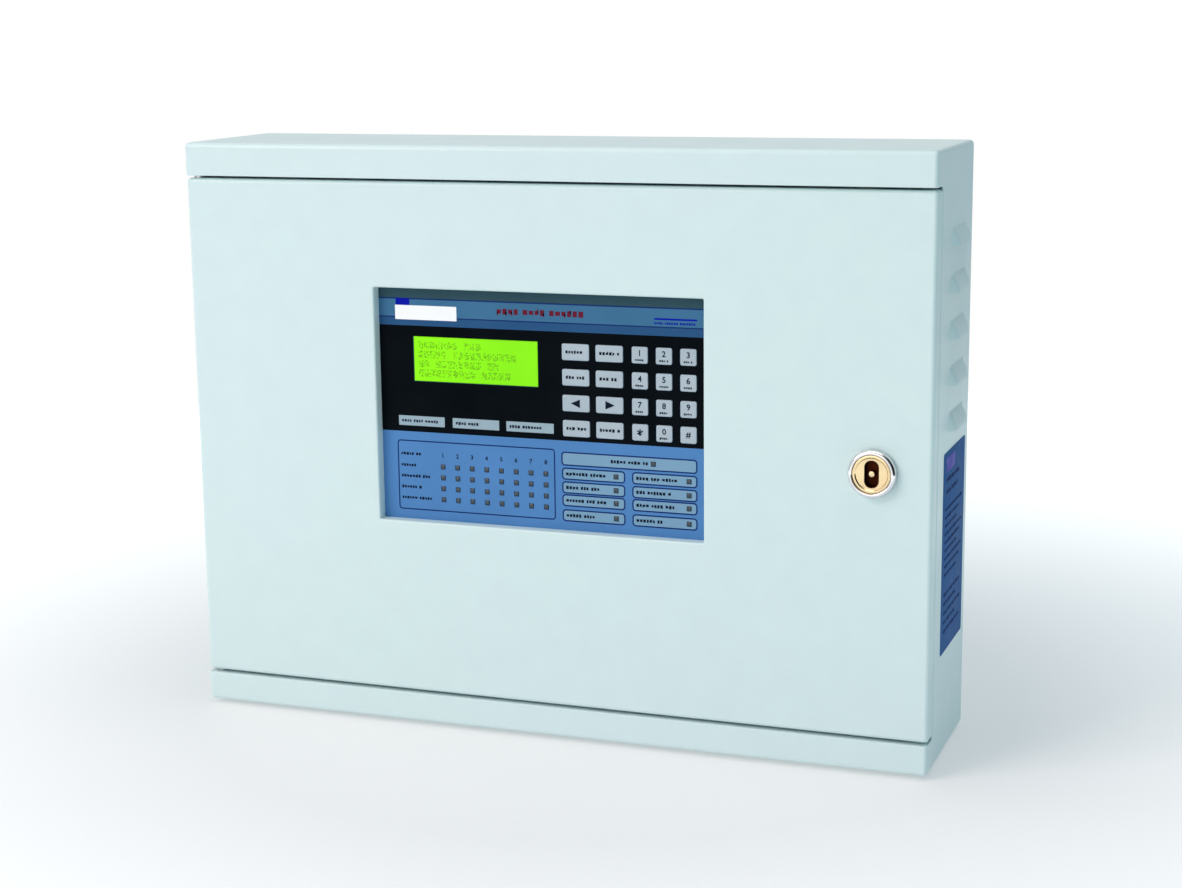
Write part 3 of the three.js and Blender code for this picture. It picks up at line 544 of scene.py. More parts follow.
def louvre_plate(side):
    """The part of a side wall that carries the row of louvres, torn along each lower lip."""
    start, end = (LOUVRE_Y + s * LOUVRE_LENGTH / 2 for s in (-1, 1))
    ys = ticks([
        (LOUVRE_PLATE_Y[0], 1), (start - LOUVRE_EDGE, 1), (start, 14), (start + LOUVRE_TAPER, 8),
        (end - LOUVRE_TAPER, 14), (end, 1), (end + LOUVRE_EDGE, 1), (LOUVRE_PLATE_Y[1], 1)])
    stops = [(LOUVRE_PLATE_Z[0], 1)]
    for centre in reversed(LOUVRE_CENTRES):
        stops += [(centre - LOUVRE_HEIGHT / 2, 16), (centre + LOUVRE_HEIGHT / 2, 1)]
        stops.append((centre + LOUVRE_HEIGHT / 2 + LOUVRE_EDGE, 1))
    zs = ticks(stops + [(LOUVRE_PLATE_Z[1], 1)])
    lips = [c - LOUVRE_HEIGHT / 2 for c in LOUVRE_CENTRES]
    mesh = bmesh.new()
    for z0, z1 in zip(zs, zs[1:]):
        for y0, y1 in zip(ys, ys[1:]):
            below_lip = any(abs(z1 - lip) < 0.01 for lip in lips)
            corners = []
            for y, z in ((y0, z0), (y1, z0), (y1, z1), (y0, z1)):
                proud = 0 if below_lip and z == z1 else louvre_height(y, z)
                corners.append(mesh.verts.new((side * (HALF_W + proud), y, z)))
            mesh.faces.new(corners)
    bmesh.ops.remove_doubles(mesh, verts=mesh.verts, dist=0.001)
    return mesh


def build_shell():
    """The body's folded sheet, its louvres, and the shelves that carry the hinge pins."""
    shell = piece("shell", folded_box(0, BEND, 2.4), PAINT, "enclosure")
    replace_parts(shell, "enclosure_body")
    carve(shell, folded_box(SHEET, BEND - SHEET, 1.15))
    bevel(carve(shell, shell_cutters()), 0.45, 3)
    openings = bmesh.new()
    for side in (-1, 1):
        wall = sorted((side * (HALF_W - 4), side * (HALF_W + 4)))
        add_block(openings, wall, LOUVRE_PLATE_Y, LOUVRE_PLATE_Z)
    even_normals(carve(shell, openings))
    for side, name in ((1, "louvres_right"), (-1, "louvres_left")):
        plate = piece(name, louvre_plate(side), PAINT, "enclosure", 50)
        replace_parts(plate, "enclosure_body")
        thickness = plate.modifiers.new("sheet", "SOLIDIFY")
        thickness.thickness = SHEET * MM
        thickness.offset = -1
        bpy.context.view_layer.update()
        resharpen(apply_modifiers(plate), 50)
    for name, z in (("hood_shelf", HOOD_Z), ("plinth_shelf", PLINTH_Z - SHEET)):
        mesh = bmesh.new()
        inside = HALF_W - SHEET
        add_block(mesh, (-inside, inside), (SHEET - DEPTH, SHELF - DEPTH), (z, z + SHEET))
        shelf = piece(name, mesh, PAINT, "enclosure")
        cutter = bmesh.new()
        ends = [(SHELF_PIN_HOLE, z - 2), (SHELF_PIN_HOLE, z + 4)]
        add_turned(cutter, ends, (PIVOT_X, PIVOT_Y, 0), 24, axis="Z")
        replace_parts(bevel(carve(shelf, cutter), 0.3), "enclosure_body")


# ---- door ----

DOOR_BEND = 2.4
DOOR_DEPTH = 11.5
FLANGE_RADIUS = 1.2


def door_form():
    """A closed pan with bent edges, open at the back."""
    mesh = bmesh.new()
    front, back = DOOR_LOW.y, DOOR_LOW.y + DOOR_DEPTH
    middle = (DOOR_LOW.z + DOOR_HIGH.z) / 2
    width, height = 2 * HALF_W, DOOR_HIGH.z - DOOR_LOW.z

    def ring(y, inset, radius):
        outline = round_rectangle(width - 2 * inset, height - 2 * inset, radius, 4)
        return [Vector((x, y, middle + z)) for x, z in outline]

    def bend(inset, radius, corner, steps=5):
        turns = [math.pi / 2 * i / steps for i in range(steps + 1)]
        return [ring(front + inset + radius * (1 - math.sin(a)), inset + radius * (1 - math.cos(a)), corner)
                for a in turns]

    inner = bend(SHEET, DOOR_BEND - SHEET, 1.0)[::-1]
    rim = [ring(back - 0.3, SHEET, 1.0), ring(back, SHEET - 0.3, 1.1), ring(back, 0.3, 1.9),
           ring(back - 0.3, 0, 2.0)]
    add_loops(mesh, inner + rim + bend(0, DOOR_BEND, 2.0))
    return mesh


def window_flange():
    """The edge of the window's cut-out, turned in towards the panel."""
    centre_x = WINDOW_LEFT + WINDOW_WIDTH / 2
    centre_z = WINDOW_TOP - WINDOW_HEIGHT / 2
    front = DOOR_LOW.y
    profile = [(-SHEET - 0.4, front + SHEET), (-SHEET, front + SHEET + 1), (-SHEET, FILM_Y), (0, FILM_Y)]
    for i in range(5):
        a = math.pi / 2 * i / 4
        profile.append((-FLANGE_RADIUS * (1 - math.cos(a)), front + FLANGE_RADIUS * (1 - math.sin(a))))
    profile.append((-SHEET - FLANGE_RADIUS, front + 0.05))
    loops = []
    for inset, y in profile:
        points = round_rectangle(WINDOW_WIDTH - 2 * inset, WINDOW_HEIGHT - 2 * inset, 0.8 - inset * 0.5, 4)
        loops.append([Vector((centre_x + x, y, centre_z + z)) for x, z in points])
    mesh = bmesh.new()
    add_loops(mesh, loops + [loops[0]], close_ends=False)
    bmesh.ops.remove_doubles(mesh, verts=mesh.verts, dist=0.0005)
    return mesh


def build_door():
    """The door's pan with its window and the studs that hold the display."""
    door = piece("door_skin", door_form(), PAINT, "door")
    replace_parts(door, "door_panel")
    cutter = bmesh.new()
    reach, front, nut = FLANGE_RADIUS, DOOR_LOW.y, DISPLAY_PLATE_BACK
    add_block(
        cutter, (WINDOW_LEFT - reach, WINDOW_LEFT + WINDOW_WIDTH + reach), (front - 2, front + 5),
        (WINDOW_TOP - WINDOW_HEIGHT - reach, WINDOW_TOP + reach))
    add_turned(cutter, [(LOCK_HOLE, front - 2), (LOCK_HOLE, front + 5)], (LOCK_X, 0, LOCK_Z), 48)
    for z in (DOOR_LOW.z, DOOR_HIGH.z):
        ends = [(DOOR_PIN_HOLE, z - 3), (DOOR_PIN_HOLE, z + 3)]
        add_turned(cutter, ends, (PIVOT_X, PIVOT_Y, 0), 24, axis="Z")
    even_normals(carve(door, cutter))
    flange = piece("door_window_edge", window_flange(), PAINT, "door", 50)
    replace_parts(flange, "door_panel")
    studs = bmesh.new()
    stud = [(1.75, front + 1), (1.75, front + 12.6), (1.4, front + 13)]
    hexagon = [(3.2, nut), (3.5, nut + 0.3), (3.5, nut + 2.2), (3.2, nut + 2.5)]
    for x in (FILM_LOW.x - 2, FILM_HIGH.x + 2):
        for z in (FILM_LOW.z - 2, FILM_HIGH.z + 2):
            add_turned(studs, stud, (x, 0, z), 16)
            add_turned(studs, hexagon, (x, 0, z), 6)
    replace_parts(piece("door_studs", studs, ZINC, "door"), "door_panel")


# ---- membrane panel: u runs right and v runs down from the window's top left corner ----

KEY_ROWS = [33.1, 47.4, 62, 76.3]
FUNCTION_COLUMNS = [119.8, 139.7]
NUMBER_COLUMNS = [157.5, 171.5, 185.5]
FUNCTION_KEYS = ["menu", "back", "enter", "help", "left", "right", "silence", "reset"]
NUMBER_KEYS = ["1", "2", "3", "4", "5", "6", "7", "8", "9", "star", "0", "hash"]
KEY_HEIGHT, KEY_NARROW, KEY_WIDE = 9.25, 9.25, 16
KEY_GAP, KEY_PROUD = 0.25, 0.4
INK = 0.05


def panel_block(mesh, u, v, lift=0.0, thick=INK):
    """A square-cornered print on the film: lift is how far its back stands off the film."""
    x, y, z = WINDOW_LEFT, FILM_Y - lift, WINDOW_TOP
    add_block(mesh, (x + u[0], x + u[1]), (y - thick, y), (z - v[1], z - v[0]))


def panel_loop(u, v, radius, inset, lift, steps=5):
    """A rounded outline, drawn in from a patch's edge and lifted off the film."""
    x, z = WINDOW_LEFT + (u[0] + u[1]) / 2, WINDOW_TOP - (v[0] + v[1]) / 2
    outline = round_rectangle(u[1] - u[0] - 2 * inset, v[1] - v[0] - 2 * inset, radius, steps)
    return [Vector((x + a, FILM_Y - lift, z + b)) for a, b in outline]


def panel_bar(mesh, u, v, radius, lift=0.0, thick=INK):
    """A print with round corners."""
    add_loops(mesh, [panel_loop(u, v, radius, 0, level) for level in (lift, lift + thick)])


def panel_outline(mesh, u, v, radius, line):
    """A printed line round a patch."""
    levels = ((0, 0), (0, INK), (line, INK), (line, 0), (0, 0))
    loops = [panel_loop(u, v, radius - inset, inset, lift) for inset, lift in levels]
    add_loops(mesh, loops, close_ends=False)


def add_glyph(mesh, text, size, u, v, lift):
    """Adds a generic character, centred on a place over the film."""
    curve = bpy.data.curves.new("glyph", "FONT")
    curve.body, curve.size, curve.extrude, curve.offset = text, size, INK / 2, size * 0.02
    curve.resolution_u = 3
    obj = bpy.data.objects.new("glyph", curve)
    bpy.context.collection.objects.link(obj)
    bpy.context.view_layer.update()
    data = bpy.data.meshes.new_from_object(obj.evaluated_get(bpy.context.evaluated_depsgraph_get()))
    bpy.data.objects.remove(obj)
    data.transform(Matrix.Rotation(math.pi / 2, 4, "X"))
    low, high = (Vector([pick(vert.co[i] for vert in data.vertices) for i in range(3)])
                 for pick in (min, max))
    place = Vector((WINDOW_LEFT + u, FILM_Y - lift, WINDOW_TOP - v))
    data.transform(Matrix.Translation(place - (low + high) / 2))
    mesh.from_mesh(data)
    bpy.data.meshes.remove(data)


def word(mesh, u, v, width, height, seed, lift=INK, place=panel_block):
    """A line of unreadable print: letter-sized blocks of uneven size, with gaps between words."""
    chance = random.Random(seed)
    at = u
    while at < u + width - height * 0.3:
        letters = chance.randint(3, 7)
        for _ in range(letters):
            letter = height * chance.uniform(0.45, 0.7)
            if at + letter > u + width:
                break
            body = height * chance.uniform(0.26, 0.4)
            place(mesh, (at, at + letter), (v - body, v + body), lift)
            reach = chance.choice((0, 0, -1, 1)) * height / 2
            if reach:
                left = at + letter * chance.choice((0, 0.66))
                place(mesh, (left, left + letter * 0.34), sorted((v, v + reach)), lift)
            at += letter + height * 0.22
        at += height * 0.5


def key_places():
    for i, label in enumerate(FUNCTION_KEYS):
        yield f"key_{label}", FUNCTION_COLUMNS[i % 2], KEY_ROWS[i // 2], KEY_WIDE
    for i, label in enumerate(NUMBER_KEYS):
        yield f"key_{label}", NUMBER_COLUMNS[i % 3], KEY_ROWS[i // 3], KEY_NARROW


THROUGH = (-3, 6)  # lift and thickness of a cutter that goes right through the film


def key_cutter():
    """The holes that the keys stand in."""
    mesh = bmesh.new()
    for _, u, v, width in key_places():
        across, down = width / 2 + KEY_GAP, KEY_HEIGHT / 2 + KEY_GAP
        panel_bar(mesh, (u - across, u + across), (v - down, v + down), 1.1, *THROUGH)
    return mesh


BANDS = [  # name, ink, top and bottom
    # The top band is a printed band darkened with painted shade of the window's top flange.
    ("zone_slate_and_painted_shade", SLATE_BAND_AND_SHADE, 0, 6.2), ("zone_navy_line", NAVY, 6.2, 7.0),
    ("zone_title", TITLE_BLUE, 7.0, 16.8), ("zone_title_line", NAVY, 16.8, 17.5),
    ("zone_strip", STRIP_BLUE, 17.5, 22), ("zone_black", BLACK_INK, 22, 83.5),
]
LCD_U, LCD_V = (21, 97.25), (28, 54)


def build_film():
    """The blue film and its bands of colour, cut out for the keys and the display."""
    mesh = bmesh.new()
    add_block(mesh, *zip(FILM_LOW, FILM_HIGH))
    film = piece("membrane_film", mesh, FILM_BLUE, "door")
    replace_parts(film, "overlay_film")
    cutter = key_cutter()
    panel_block(cutter, LCD_U, LCD_V, *THROUGH)
    carve(film, cutter)
    for name, material, top, bottom in BANDS:
        patch = bmesh.new()
        panel_block(patch, (0, WINDOW_WIDTH), (top, bottom), 0)
        zone = piece(name, patch, material, "door")
        if name == "zone_black":
            cutter = key_cutter()
            panel_block(cutter, LCD_U, LCD_V, *THROUGH)
            carve(zone, cutter)


def build_title():
    """The title band's print and its blank white plate."""
    mesh = bmesh.new()
    word(mesh, 73, 12, 55, 4.2, 3, INK)
    piece("title_print", mesh, MAROON, "door")
    mesh = bmesh.new()
    panel_block(mesh, (10.7, 19.3), (6.4, 10.4), INK)
    panel_block(mesh, (166, 190.5), (12.2, 13.2), INK)
    word(mesh, 166, 15, 24.5, 1.6, 8, INK)
    piece("royal_print", mesh, ROYAL, "door")
    mesh = bmesh.new()
    panel_bar(mesh, (10.2, 48.3), (10.4, 18.6), 0.4, INK)
    piece("blank_plate", mesh, WHITE_INK, "door")


LEGEND_LEFT, LEGEND_WIDTH, LEGEND_V = (10.7, 44.4, 77.5), 28.7, (74.3, 80)


def build_legends():
    """Three pale windows with cards behind them."""
    card, print_ = bmesh.new(), bmesh.new()
    for i, left in enumerate(LEGEND_LEFT):
        panel_bar(card, (left, left + LEGEND_WIDTH), LEGEND_V, 0.4, INK)
        word(print_, left + 2, 77.2, LEGEND_WIDTH - (5, 14, 9)[i], 2.1, 20 + i, 2 * INK)
    piece("legend_windows", card, CARD_WHITE, "door")
    piece("legend_print", print_, DARK_TEXT, "door")


def build_screen():
    """The display: a bright pane set a little back, with rows of dot-matrix cells."""
    mesh = bmesh.new()
    panel_block(mesh, (LCD_U[0] + 0.2, LCD_U[1] - 0.2), (LCD_V[0] + 0.2, LCD_V[1] - 0.2), -1.5, 1.2)
    pane = piece("lcd_pane", mesh, LCD_LIGHT, "door")
    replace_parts(pane, "lcd_glass")
    bevel(pane, 0.15)
    dots = bmesh.new()
    chance = random.Random(41)
    cell_u, cell_v, pitch, size = 3.55, 5.35, 0.6, 0.5
    for row, length in enumerate((11, 17, 14, 16)):
        for column in range(length):
            if chance.random() < 0.14:
                continue
            for dot_v in range(7):
                for dot_u in range(5):
                    if chance.random() < 0.45:
                        u = LCD_U[0] + 3 + column * cell_u + dot_u * pitch
                        v = LCD_V[0] + 3 + row * cell_v + dot_v * pitch
                        panel_block(dots, (u, u + size), (v, v + size), -0.3, 0.02)
    piece("lcd_dots", dots, LCD_DOT, "door")


ZONE_LED_LEFT, ZONE_LED_PITCH = 37.7, 9.05
ZONE_HEAD_V, ZONE_ROWS = 96.6, [103.3, 109.7, 116.1, 122.5]
STATUS_TOP, STATUS_COLUMNS, STATUS_ROWS = (165, 93.8), (143, 185.7), [102.4, 110.3, 117.7, 126.4]


def led_places():
    for v in ZONE_ROWS:
        for i in range(8):
            yield ZONE_LED_LEFT + i * ZONE_LED_PITCH, v
    yield STATUS_TOP
    for u in STATUS_COLUMNS:
        for v in STATUS_ROWS:
            yield u, v


def build_zone_prints():
    lines = bmesh.new()
    panel_outline(lines, (9.3, 106.7), (88.6, 129.6), 2, 0.7)
    text = bmesh.new()
    for i in range(8):
        add_glyph(text, str(i + 1), 3.4, ZONE_LED_LEFT + i * ZONE_LED_PITCH, ZONE_HEAD_V, INK / 2)
    for i, v in enumerate([ZONE_HEAD_V] + ZONE_ROWS):
        word(text, 11.5, v, (13, 10, 19, 13, 20)[i], 2.1, 60 + i, 0)
    piece("zone_outline", lines, NAVY, "door")
    piece("zone_text", text, DARK_TEXT, "door")


def build_status_prints():
    bars, lines, text = bmesh.new(), bmesh.new(), bmesh.new()
    spans = [((111.3, 189.7), (90.6, 97.0))]
    spans += [((111.6, 147.6), (v - 2.7, v + 2.7)) for v in STATUS_ROWS]
    spans += [((153.3, 189.7), (v - 2.7, v + 2.7)) for v in STATUS_ROWS]
    for i, (u, v) in enumerate(spans):
        panel_bar(bars, u, v, 1.4, 0)
        panel_outline(lines, (u[0] - 0.8, u[1] + 0.8), (v[0] - 0.8, v[1] + 0.8), 2, 0.75)
        length = 22 if i == 0 else (17, 25, 21, 24)[i % 4]
        start = 140 if i == 0 else u[0] + 1.6
        word(text, start, (v[0] + v[1]) / 2, length, 2.3, 80 + i, INK)
    piece("status_bars", bars, BAR_BLUE, "door")
    piece("status_outlines", lines, NAVY, "door")
    piece("status_text", text, DARK_TEXT, "door")


def build_leds():
    """Each indicator is a dark window with a low square lens."""
    frames, lenses = bmesh.new(), bmesh.new()
    dark, clear = 1.45, 1.2
    levels = ((0, INK), (0, 2 * INK), (0.25, 0.22), (0.6, 0.28))
    for u, v in led_places():
        panel_bar(frames, (u - dark, u + dark), (v - dark, v + dark), 0.4, INK)
        sides = (u - clear, u + clear), (v - clear, v + clear)
        add_loops(lenses, [panel_loop(*sides, max(0.1, 0.5 - inset), inset, lift, 3)
                           for inset, lift in levels])
    piece("led_frames", frames, DARK_TEXT, "door")
    lens = piece("led_lenses", lenses, LED_SMOKE, "door")
    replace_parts(lens, "zone_light_pipe", "status_light_pipe")


def key_cap(u, v, width):
    """A low cushion-shaped cap with a soft edge."""
    mesh = bmesh.new()
    sides = (u - width / 2, u + width / 2), (v - KEY_HEIGHT / 2, v + KEY_HEIGHT / 2)
    levels = ((0, -1.6), (0, KEY_PROUD - 0.22), (0.07, KEY_PROUD - 0.1), (0.25, KEY_PROUD - 0.03),
              (0.6, KEY_PROUD), (1.6, KEY_PROUD + 0.02))
    add_loops(mesh, [panel_loop(*sides, max(0.3, 1.0 - inset * 0.5), inset, lift)
                     for inset, lift in levels])
    return mesh


def key_print(name, u, v, width):
    """The marks on a key: a digit over a line of small print, an arrow, or a line of print."""
    mesh = bmesh.new()
    lift = KEY_PROUD + 0.02
    label = name.removeprefix("key_")
    marks = {"star": "*", "hash": "#"}
    if label in marks:
        add_glyph(mesh, marks[label], 8 if label == "star" else 4.6, u, v, lift + INK / 2)
    elif label in NUMBER_KEYS:
        add_glyph(mesh, label, 4.6, u, v - 1.2, lift + INK / 2)
        word(mesh, u - 2.6, v + 2.7, 5.4, 1.5, sum(map(ord, name)), lift)
    elif label in ("left", "right"):
        way = -1 if label == "left" else 1
        tip = [(u + way * 3, v), (u - way * 2.4, v - 2.4), (u - way * 2.4, v + 2.4)]
        add_loops(mesh, [[Vector((WINDOW_LEFT + a, FILM_Y - level, WINDOW_TOP - b)) for a, b in tip]
                         for level in (lift, lift + INK)])
    else:
        word(mesh, u - width * 0.36, v, width * 0.74, 2.3, sum(map(ord, name)), lift)
    return mesh


def build_keys():
    for name, u, v, width in key_places():
        cap = piece(f"{name}_cap", key_cap(u, v, width), KEY_GREY, name, 50)
        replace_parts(cap, name)
        piece(f"{name}_print", key_print(name, u, v, width), DARK_TEXT, name)


# ---- lock ----

PLUG_RADIUS, KEYWAY_WIDTH, KEYWAY_HEIGHT = 10.5, 8, 15
PLUG_PROFILE = [  # radius and distance behind the door's front
    (7, 16.0), (7, 9.1), (8.5, 9.0), (8.5, -1.2), (PLUG_RADIUS, -1.25), (PLUG_RADIUS, -3.7),
    (10.25, -4.1), (9.7, -4.25), (9.1, -4.2), (8.75, -3.9), (8.5, -3.65), (6.0, -3.5), (4.5, -3.45)]


def build_lock():
    centre = (LOCK_X, DOOR_LOW.y, LOCK_Z)
    seat, lip = PLUG_RADIUS + 0.1, RIM_RADIUS - PLUG_RADIUS - 0.1
    profile = [(8.6, 9.25), (8.6, -1), (seat, -1), (seat, -4.5), (seat + 0.12, -4.8), (seat + 0.4, -4.97)]
    for i in range(9):
        a = math.pi / 2 * i / 8
        profile.append((seat + 0.8 + (lip - 0.8) * math.sin(a), -2.2 - 2.8 * math.cos(a)))
    profile += [(RIM_RADIUS, -0.4), (RIM_RADIUS - 0.2, 0), (10.5, 0), (10.5, 13), (7.1, 13), (7.1, 9.25)]
    rows = [[Vector(centre) + Vector((radius * math.cos(a), along, radius * math.sin(a)))
             for a in (2 * math.pi * i / 96 for i in range(96))] for radius, along in profile + [profile[0]]]
    mesh = bmesh.new()
    add_loops(mesh, rows, close_ends=False)
    bmesh.ops.remove_doubles(mesh, verts=mesh.verts, dist=0.0005)
    rim = piece("lock_bezel", mesh, CHROME, "door", 30)
    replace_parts(rim, "lock_housing")
    build_plug(centre)


def build_plug(centre):
    """The plug's face is softly dished, with an upright keyway round a centre pin."""
    mesh = bmesh.new()
    add_turned(mesh, PLUG_PROFILE, centre, 96)
    plug = piece("lock_plug_face", mesh, BRASS, "lock", 30)
    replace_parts(plug, "lock_plug")
    outer = round_rectangle(KEYWAY_WIDTH, KEYWAY_HEIGHT, KEYWAY_WIDTH / 2 - 0.2, 8)
    inner = round_rectangle(KEYWAY_WIDTH - 0.4, KEYWAY_HEIGHT - 0.4, KEYWAY_WIDTH / 2 - 0.3, 8)

    def outline(points, along):
        return [Vector(centre) + Vector((x, along, z)) for x, z in points]

    cutter = bmesh.new()
    add_loops(cutter, [outline(outer, along) for along in (-6, 1.7)])
    carve(plug, cutter)
    # The keyway's walls and floor carry painted shade: a dark brown standing in for the slot's shadow.
    shaded_keyway_walls = bmesh.new()
    levels = [(outer, 1.7), (outer, -3.4), (inner, -3.4), (inner, 1.4)]
    add_loops(shaded_keyway_walls, [outline(points, along) for points, along in levels])
    piece("keyway_lining", shaded_keyway_walls, KEYWAY_PAINTED_SHADE, "lock")
    pin = bmesh.new()
    add_turned(pin, [(1.75, 1.2), (1.75, -2.7), (1.5, -3.1), (1.0, -3.25)], centre, 32)
    piece("keyway_pin", pin, BRASS, "lock")
    boss = bmesh.new()
    half, front = 3.5, centre[1]
    add_block(boss, (LOCK_X - half, LOCK_X + half), (front + 15.5, front + 17.75),
              (LOCK_Z - half, LOCK_Z + half))
    bevel(piece("plug_square", boss, BRASS, "lock"), 0.3)


# ---- side label ----

def build_side_label():
    """A printed label: a small square, a heading and blocks of unreadable print."""
    x, y, z = LABEL_HIGH.x, (LABEL_LOW.y, LABEL_HIGH.y), (LABEL_LOW.z, LABEL_HIGH.z)
    face = x - 0.03
    base = bmesh.new()
    width, height = y[1] - y[0], z[1] - z[0]
    outline = round_rectangle(width, height, 2)
    middle = ((y[0] + y[1]) / 2, (z[0] + z[1]) / 2)
    loops = []
    for inset, level in ((0, LABEL_LOW.x), (0, x - 0.08), (0.1, face)):
        scale_y, scale_z = 1 - 2 * inset / width, 1 - 2 * inset / height
        loops.append([Vector((level, middle[0] + a * scale_y, middle[1] + b * scale_z))
                      for a, b in outline])
    add_loops(base, loops)
    label = piece("side_label_print", base, LABEL_BLUE, "enclosure")
    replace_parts(label, "side_label")

    def patch(mesh, u, v, lift=INK):
        add_block(mesh, (face, face + lift), (y[0] + u[0], y[0] + u[1]), (z[1] - v[1], z[1] - v[0]))

    marks = bmesh.new()
    for start, line_height, length in ((16, 3, 38), (22.5, 3, 32)):
        word(marks, 8, start, length, line_height, start, place=patch)
    for row in range(9):
        word(marks, 6, 32 + row * 4.6, 48 - (row % 3) * 7, 2, 200 + row, place=patch)
    for row in range(5):
        word(marks, 6, 80 + row * 5.2, 46 - (row % 2) * 12, 2.4, 230 + row, place=patch)
    piece("side_label_marks", marks, LABEL_NAVY, "enclosure")
    square = bmesh.new()
    patch(square, (7, 32), (3.5, 11.5))
    piece("side_label_square", square, ROYAL, "enclosure")


# ---- inside ----

MAIN_CHIPS = (  # x, z, width, height and legs on each side
    (-20, 52, 12, 18, 8), (16, 52, 12, 18, 8), (-150, -8, 10, 24, 12), (-118, -8, 10, 24, 12),
    (40, 12, 14, 14, 10), (-180, 92, 8, 12, 6))
CAPACITORS = (  # x, z, radius and height
    (50, -22, 6.5, 14), (32, -24, 5, 11), (14, -26, 4, 9), (-186, 20, 4, 9), (-186, 4, 4, 9),
    (-60, -20, 5, 11))
LEFT_FREE = (  # x and z ranges of the main board that hold no small parts
    (-200, -182, -60, 150), (58, 70, -60, 150), (-98, -52, 22, 68), (-168, -132, 18, 64),
    (-28, -12, 42, 63), (8, 24, 42, 63), (-158, -110, -22, 6), (30, 50, 2, 22), (4, 60, -34, -14),
    (-68, -52, -28, -12), (-34, 50, 70, 102))
DISPLAY_CHIPS = ((-70, 20), (-42, 20), (-14, 20), (14, 20), (-42, -20), (-14, -20), (30, -20))
CHIP_TALL = 2.2
SUPPLY_STEP, SUPPLY_WAYS = 15, 7
RELAY_PITCH, RELAY_COUNT = 20, 4
BATTERY_TAB_X, BATTERY_TAB_Y = 55, -18


def add_screw(mesh, x, y, z, radius, height, turn=0.6):
    """A slotted screw head that faces the front and sits on the plane y."""
    add_turned(mesh, [(radius, y + 0.1), (radius, y - height * 0.6)], (x, 0, z), 20)
    start = math.asin(0.18)
    for side in (0, math.pi):
        arc = [turn + side + start + (math.pi - 2 * start) * i / 10 for i in range(11)]
        levels = ((radius, 0.5), (radius, 0.85), (radius * 0.9, 1))
        add_loops(mesh, [[Vector((x + r * math.cos(a), y - height * part, z + r * math.sin(a)))
                          for a in arc] for r, part in levels])


def add_chip(bodies, legs, x, z, width, height, y, pins, way=-1):
    """A chip lying on the plane y of a board, with bent legs along its left and right sides."""
    add_block(bodies, (x - width / 2, x + width / 2), sorted((y + way * 0.3, y + way * CHIP_TALL)),
              (z - height / 2, z + height / 2))
    for i in range(pins):
        at = z - height / 2 + height * (i + 0.5) / pins
        thick = height / pins * 0.22
        for side in (-1, 1):
            edge = x + side * width / 2
            for reach, rise in (((0, 0.7), (0.9, 1.2)), ((0.5, 1.4), (0, 1.0))):
                add_block(legs, sorted(edge + side * a for a in reach), sorted(y + way * a for a in rise),
                          (at - thick, at + thick))


def add_capacitor(cans, tops, x, y, z, radius, height):
    """A sleeved can capacitor with a rolled groove and a scored top."""
    top = y - height
    add_turned(cans, [(radius, y + 0.1), (radius, y - 1.2), (radius * 0.9, y - 1.8), (radius, y - 2.4),
                      (radius, top + 0.5), (radius * 0.88, top)], (x, 0, z), 28)
    add_turned(tops, [(radius * 0.8, top + 0.1), (radius * 0.8, top - 0.06)], (x, 0, z), 28)
    for across, up in ((radius * 0.7, 0.14), (0.14, radius * 0.7)):
        add_block(tops, (x - across, x + across), (top - 0.12, top), (z - up, z + up))


def build_board_parts():
    """The main board's chips, capacitors, small parts and fixing screws."""
    y = BOARD_LOW.y
    chips, legs, cans, tops, screws, bodies, ends = (bmesh.new() for _ in range(7))
    for x, z, width, height, pins in MAIN_CHIPS:
        add_chip(chips, legs, x, z, width, height, y, pins)
    for x, z, radius, height in CAPACITORS:
        add_capacitor(cans, tops, x, y, z, radius, height)
    for x in (BOARD_LOW.x + 4, BOARD_HIGH.x - 4):
        for z in (BOARD_LOW.z + 4, BOARD_HIGH.z - 4):
            add_screw(screws, x, y, z, 3, 1.6)
    chance = random.Random(17)
    for row in range(7):
        for column in range(20):
            x = -176 + column * 11.5 + chance.uniform(-1.5, 1.5)
            z = -34 + row * 13 + chance.uniform(-1.5, 1.5)
            free = any(a - 3 < x < b + 3 and c - 3 < z < d + 3 for a, b, c, d in LEFT_FREE)
            if free or chance.random() < 0.2:
                continue
            add_block(bodies, (x - 1.3, x + 1.3), (y - 1, y - 0.15), (z - 0.9, z + 0.9))
            for side in (-1, 1):
                add_block(ends, sorted((x + side * 1.2, x + side * 1.8)), (y - 0.95, y), (z - 0.85, z + 0.85))
    for name, mesh, material, slot in (
            ("chips", chips, BLACK_PLASTIC, "black_plastic"),
            ("chip_legs", legs, SOLDER, "zinc_plated_steel"),
            ("capacitors", cans, CAN_BLUE, "black_plastic"),
            ("capacitor_tops", tops, SOLDER, "zinc_plated_steel"),
            ("screws", screws, ZINC, "zinc_plated_steel"),
            ("small_parts", bodies, CREAM, "black_plastic"),
            ("small_part_ends", ends, SOLDER, "zinc_plated_steel")):
        piece(f"board_{name}", mesh, material, "enclosure")


def supply_terminals(screws, low, high):
    """The clamp row on the power supply's step: raised walls between the screws."""
    strip = bmesh.new()
    pitch = (high.x - low.x - 16) / SUPPLY_WAYS
    z = (low.z + 1.5, low.z + SUPPLY_STEP - 1.5)
    for i in range(SUPPLY_WAYS + 1):
        x = low.x + 8 + i * pitch
        add_block(strip, (x - 0.8, x + 0.8), (low.y + 4, low.y + SUPPLY_STEP), z)
    for i in range(SUPPLY_WAYS):
        x = low.x + 8 + (i + 0.5) * pitch
        add_block(strip, (x - pitch / 2, x + pitch / 2), (low.y + 8, low.y + SUPPLY_STEP), z)
        add_screw(screws, x, low.y + 8, low.z + SUPPLY_STEP / 2, 3, 1.4, 0.2 + i)
    bevel(piece("supply_terminals", strip, BLACK_PLASTIC, "enclosure"), 0.3)


